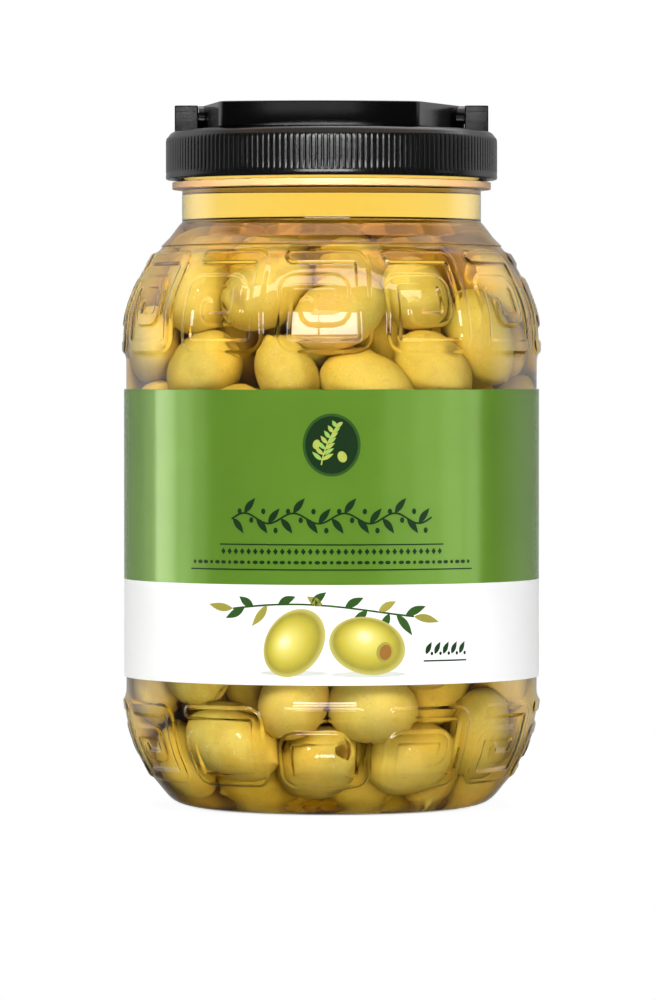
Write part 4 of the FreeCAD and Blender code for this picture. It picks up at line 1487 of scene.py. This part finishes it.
glass = group("lit_glass", [jar, brine])
fruit = group("lit_fruit", [o for o in scene.objects if o.name.startswith("olives")])
shade = group("shades_fruit", [o for o in scene.objects if o.name.startswith("olives")] + [jar, brine])
paper = group("lit_paper", [wrap, lap, art])
caps = group("lit_cap", [cap, lugs])
grip = group("lit_grip", [handle])
ground = group("lit_floor", [floor])


def lamp(name, azimuth, elevation, distance, width, height, radiance, lit, tint=(1, 1, 1), blockers=None, target=(0, 0, 0.12)):
    ob = panel(name, azimuth, elevation, distance, width, height, radiance * math.pi * width * height, target)
    ob.data.color = tint
    ob.light_linking.receiver_collection = lit
    if blockers:
        ob.light_linking.blocker_collection = blockers
    return ob


def soft(ob):
    """Lights without a mirror image of its own."""
    ob.visible_glossy = False
    ob.visible_transmission = False
    return ob


def sheen(ob):
    """Only seen as a mirror image."""
    ob.visible_diffuse = False
    ob.visible_transmission = False
    return ob


# the front soft box in two panes, seen in the ridges as a split highlight
for tag, lit, power in (("glass", glass, 9.0), ("cap", caps, 24.0), ("grip", grip, 0.9)):
    tint = (0.97, 0.97, 1.05) if tag == "glass" else (1, 1, 1)
    lamp("front_left_" + tag, -14.2, 15.5, 1.35, 0.315, 0.36, power, lit, tint)
    lamp("front_right_" + tag, 3.6, 15.5, 1.35, 0.475, 0.36, power, lit, tint)
# the fruit: key from the upper left, low front fill, floor bounce, sides and back
soft(lamp("fruit_key", -24, 40, 1.2, 0.8, 0.6, 12.5, fruit, (1.0, 0.985, 0.95), shade))
soft(lamp("fruit_front", 12, -12, 1.3, 0.8, 0.5, 12.5, fruit, (0.97, 0.98, 1.04), shade))
soft(lamp("fruit_under", 0, -84, 0.6, 0.6, 0.6, 0.20, fruit, (1.0, 0.80, 0.52), shade))
soft(lamp("fruit_left", -100, 12, 1.3, 0.8, 0.6, 3.0, fruit, (1, 1, 1), shade))
soft(lamp("fruit_right", 100, 12, 1.3, 0.8, 0.6, 3.0, fruit, (1, 1, 1), shade))
soft(lamp("fruit_back", 180, 25, 1.3, 0.8, 0.6, 9.0, fruit, (1, 1, 1), shade))
# the label: two wide fills, a narrow sheen at the left and a stepped one at the right
soft(lamp("paper_left", -32, 40, 1.3, 0.9, 0.6, 9.4, paper))
soft(lamp("paper_right", 32, 40, 1.3, 0.9, 0.6, 9.4, paper))
soft(lamp("paper_back", 180, 35, 1.3, 0.9, 0.6, 9.0, paper))
for az, w, power in ((-119.0, 0.25, 1.2), (-102.5, 0.42, 14.5), (-86.5, 0.24, 9.0), (-76.0, 0.24, 4.5),
                     (82.0, 0.26, 9.0), (68.0, 0.34, 9.0), (52.0, 0.36, 6.0), (36.0, 0.36, 3.4)):
    sheen(lamp("sheen_%d" % az, az, 4.0, 1.3, w, 1.2, power, paper, (0.97, 1.0, 0.80)))
# the shoulder: an amber glow over its slope and a paler line round its foot
for az, el, w, h, power in ((0, 77, 1.1, 0.5, 3.4), (-72, 61, 0.8, 0.55, 2.8), (72, 61, 0.8, 0.55, 2.8),
                            (-108, 45, 0.6, 0.5, 1.8), (108, 45, 0.6, 0.5, 1.8)):
    sheen(lamp("shoulder_glow_%d" % az, az, el, 1.3, w, h, power, glass, (1.0, 0.40, 0.06)))
sheen(lamp("shoulder_ring", 0, 54, 1.3, 2.4, 0.20, 5.0, glass, (1.0, 0.84, 0.80)))
# the lid: a weak round of light for its sides and top
lid = group("lit_lid", [cap, lugs, handle])
soft(lamp("rim_fill_front", 0, 12, 1.3, 0.9, 0.5, 20.0, glass))
soft(lamp("rim_fill_back", 180, 12, 1.3, 0.9, 0.5, 12.0, glass))
lamp("cap_left", -100, 20, 1.3, 0.5, 0.7, 0.6, lid)
lamp("cap_right", 85, 20, 1.3, 0.4, 0.7, 0.9, lid)
lamp("cap_top", 150, 60, 1.2, 0.9, 0.9, 1.6, lid)
lamp("floor_top", 0, 78, 1.3, 1.2, 1.2, 1.0, ground)

cam = bpy.data.cameras.new("camera")
cam.lens = 216.4
cam.sensor_width = 36.0
cam.clip_start, cam.clip_end = 0.05, 20
cam_ob = bpy.data.objects.new("camera", cam)
cam_ob.location = (-0.00137, -2.056, 0.148)
cam_ob.rotation_euler = (math.radians(90 - 1.2197), 0, 0)
scene.collection.objects.link(cam_ob)
scene.camera = cam_ob
scene.view_settings.view_transform = "Standard"
scene.view_settings.look = "None"
scene.cycles.use_adaptive_sampling = True
scene.cycles.adaptive_threshold = 0.05
scene.cycles.use_light_tree = False
scene.cycles.caustics_reflective = False
scene.cycles.caustics_refractive = False
scene.cycles.max_bounces = 10
scene.cycles.transmission_bounces = 8
scene.cycles.sample_clamp_indirect = 6.0
scene.cycles.light_sampling_threshold = 0.03
scene.cycles.transparent_max_bounces = 16
scene.cycles.glossy_bounces = 3
scene.cycles.diffuse_bounces = 2
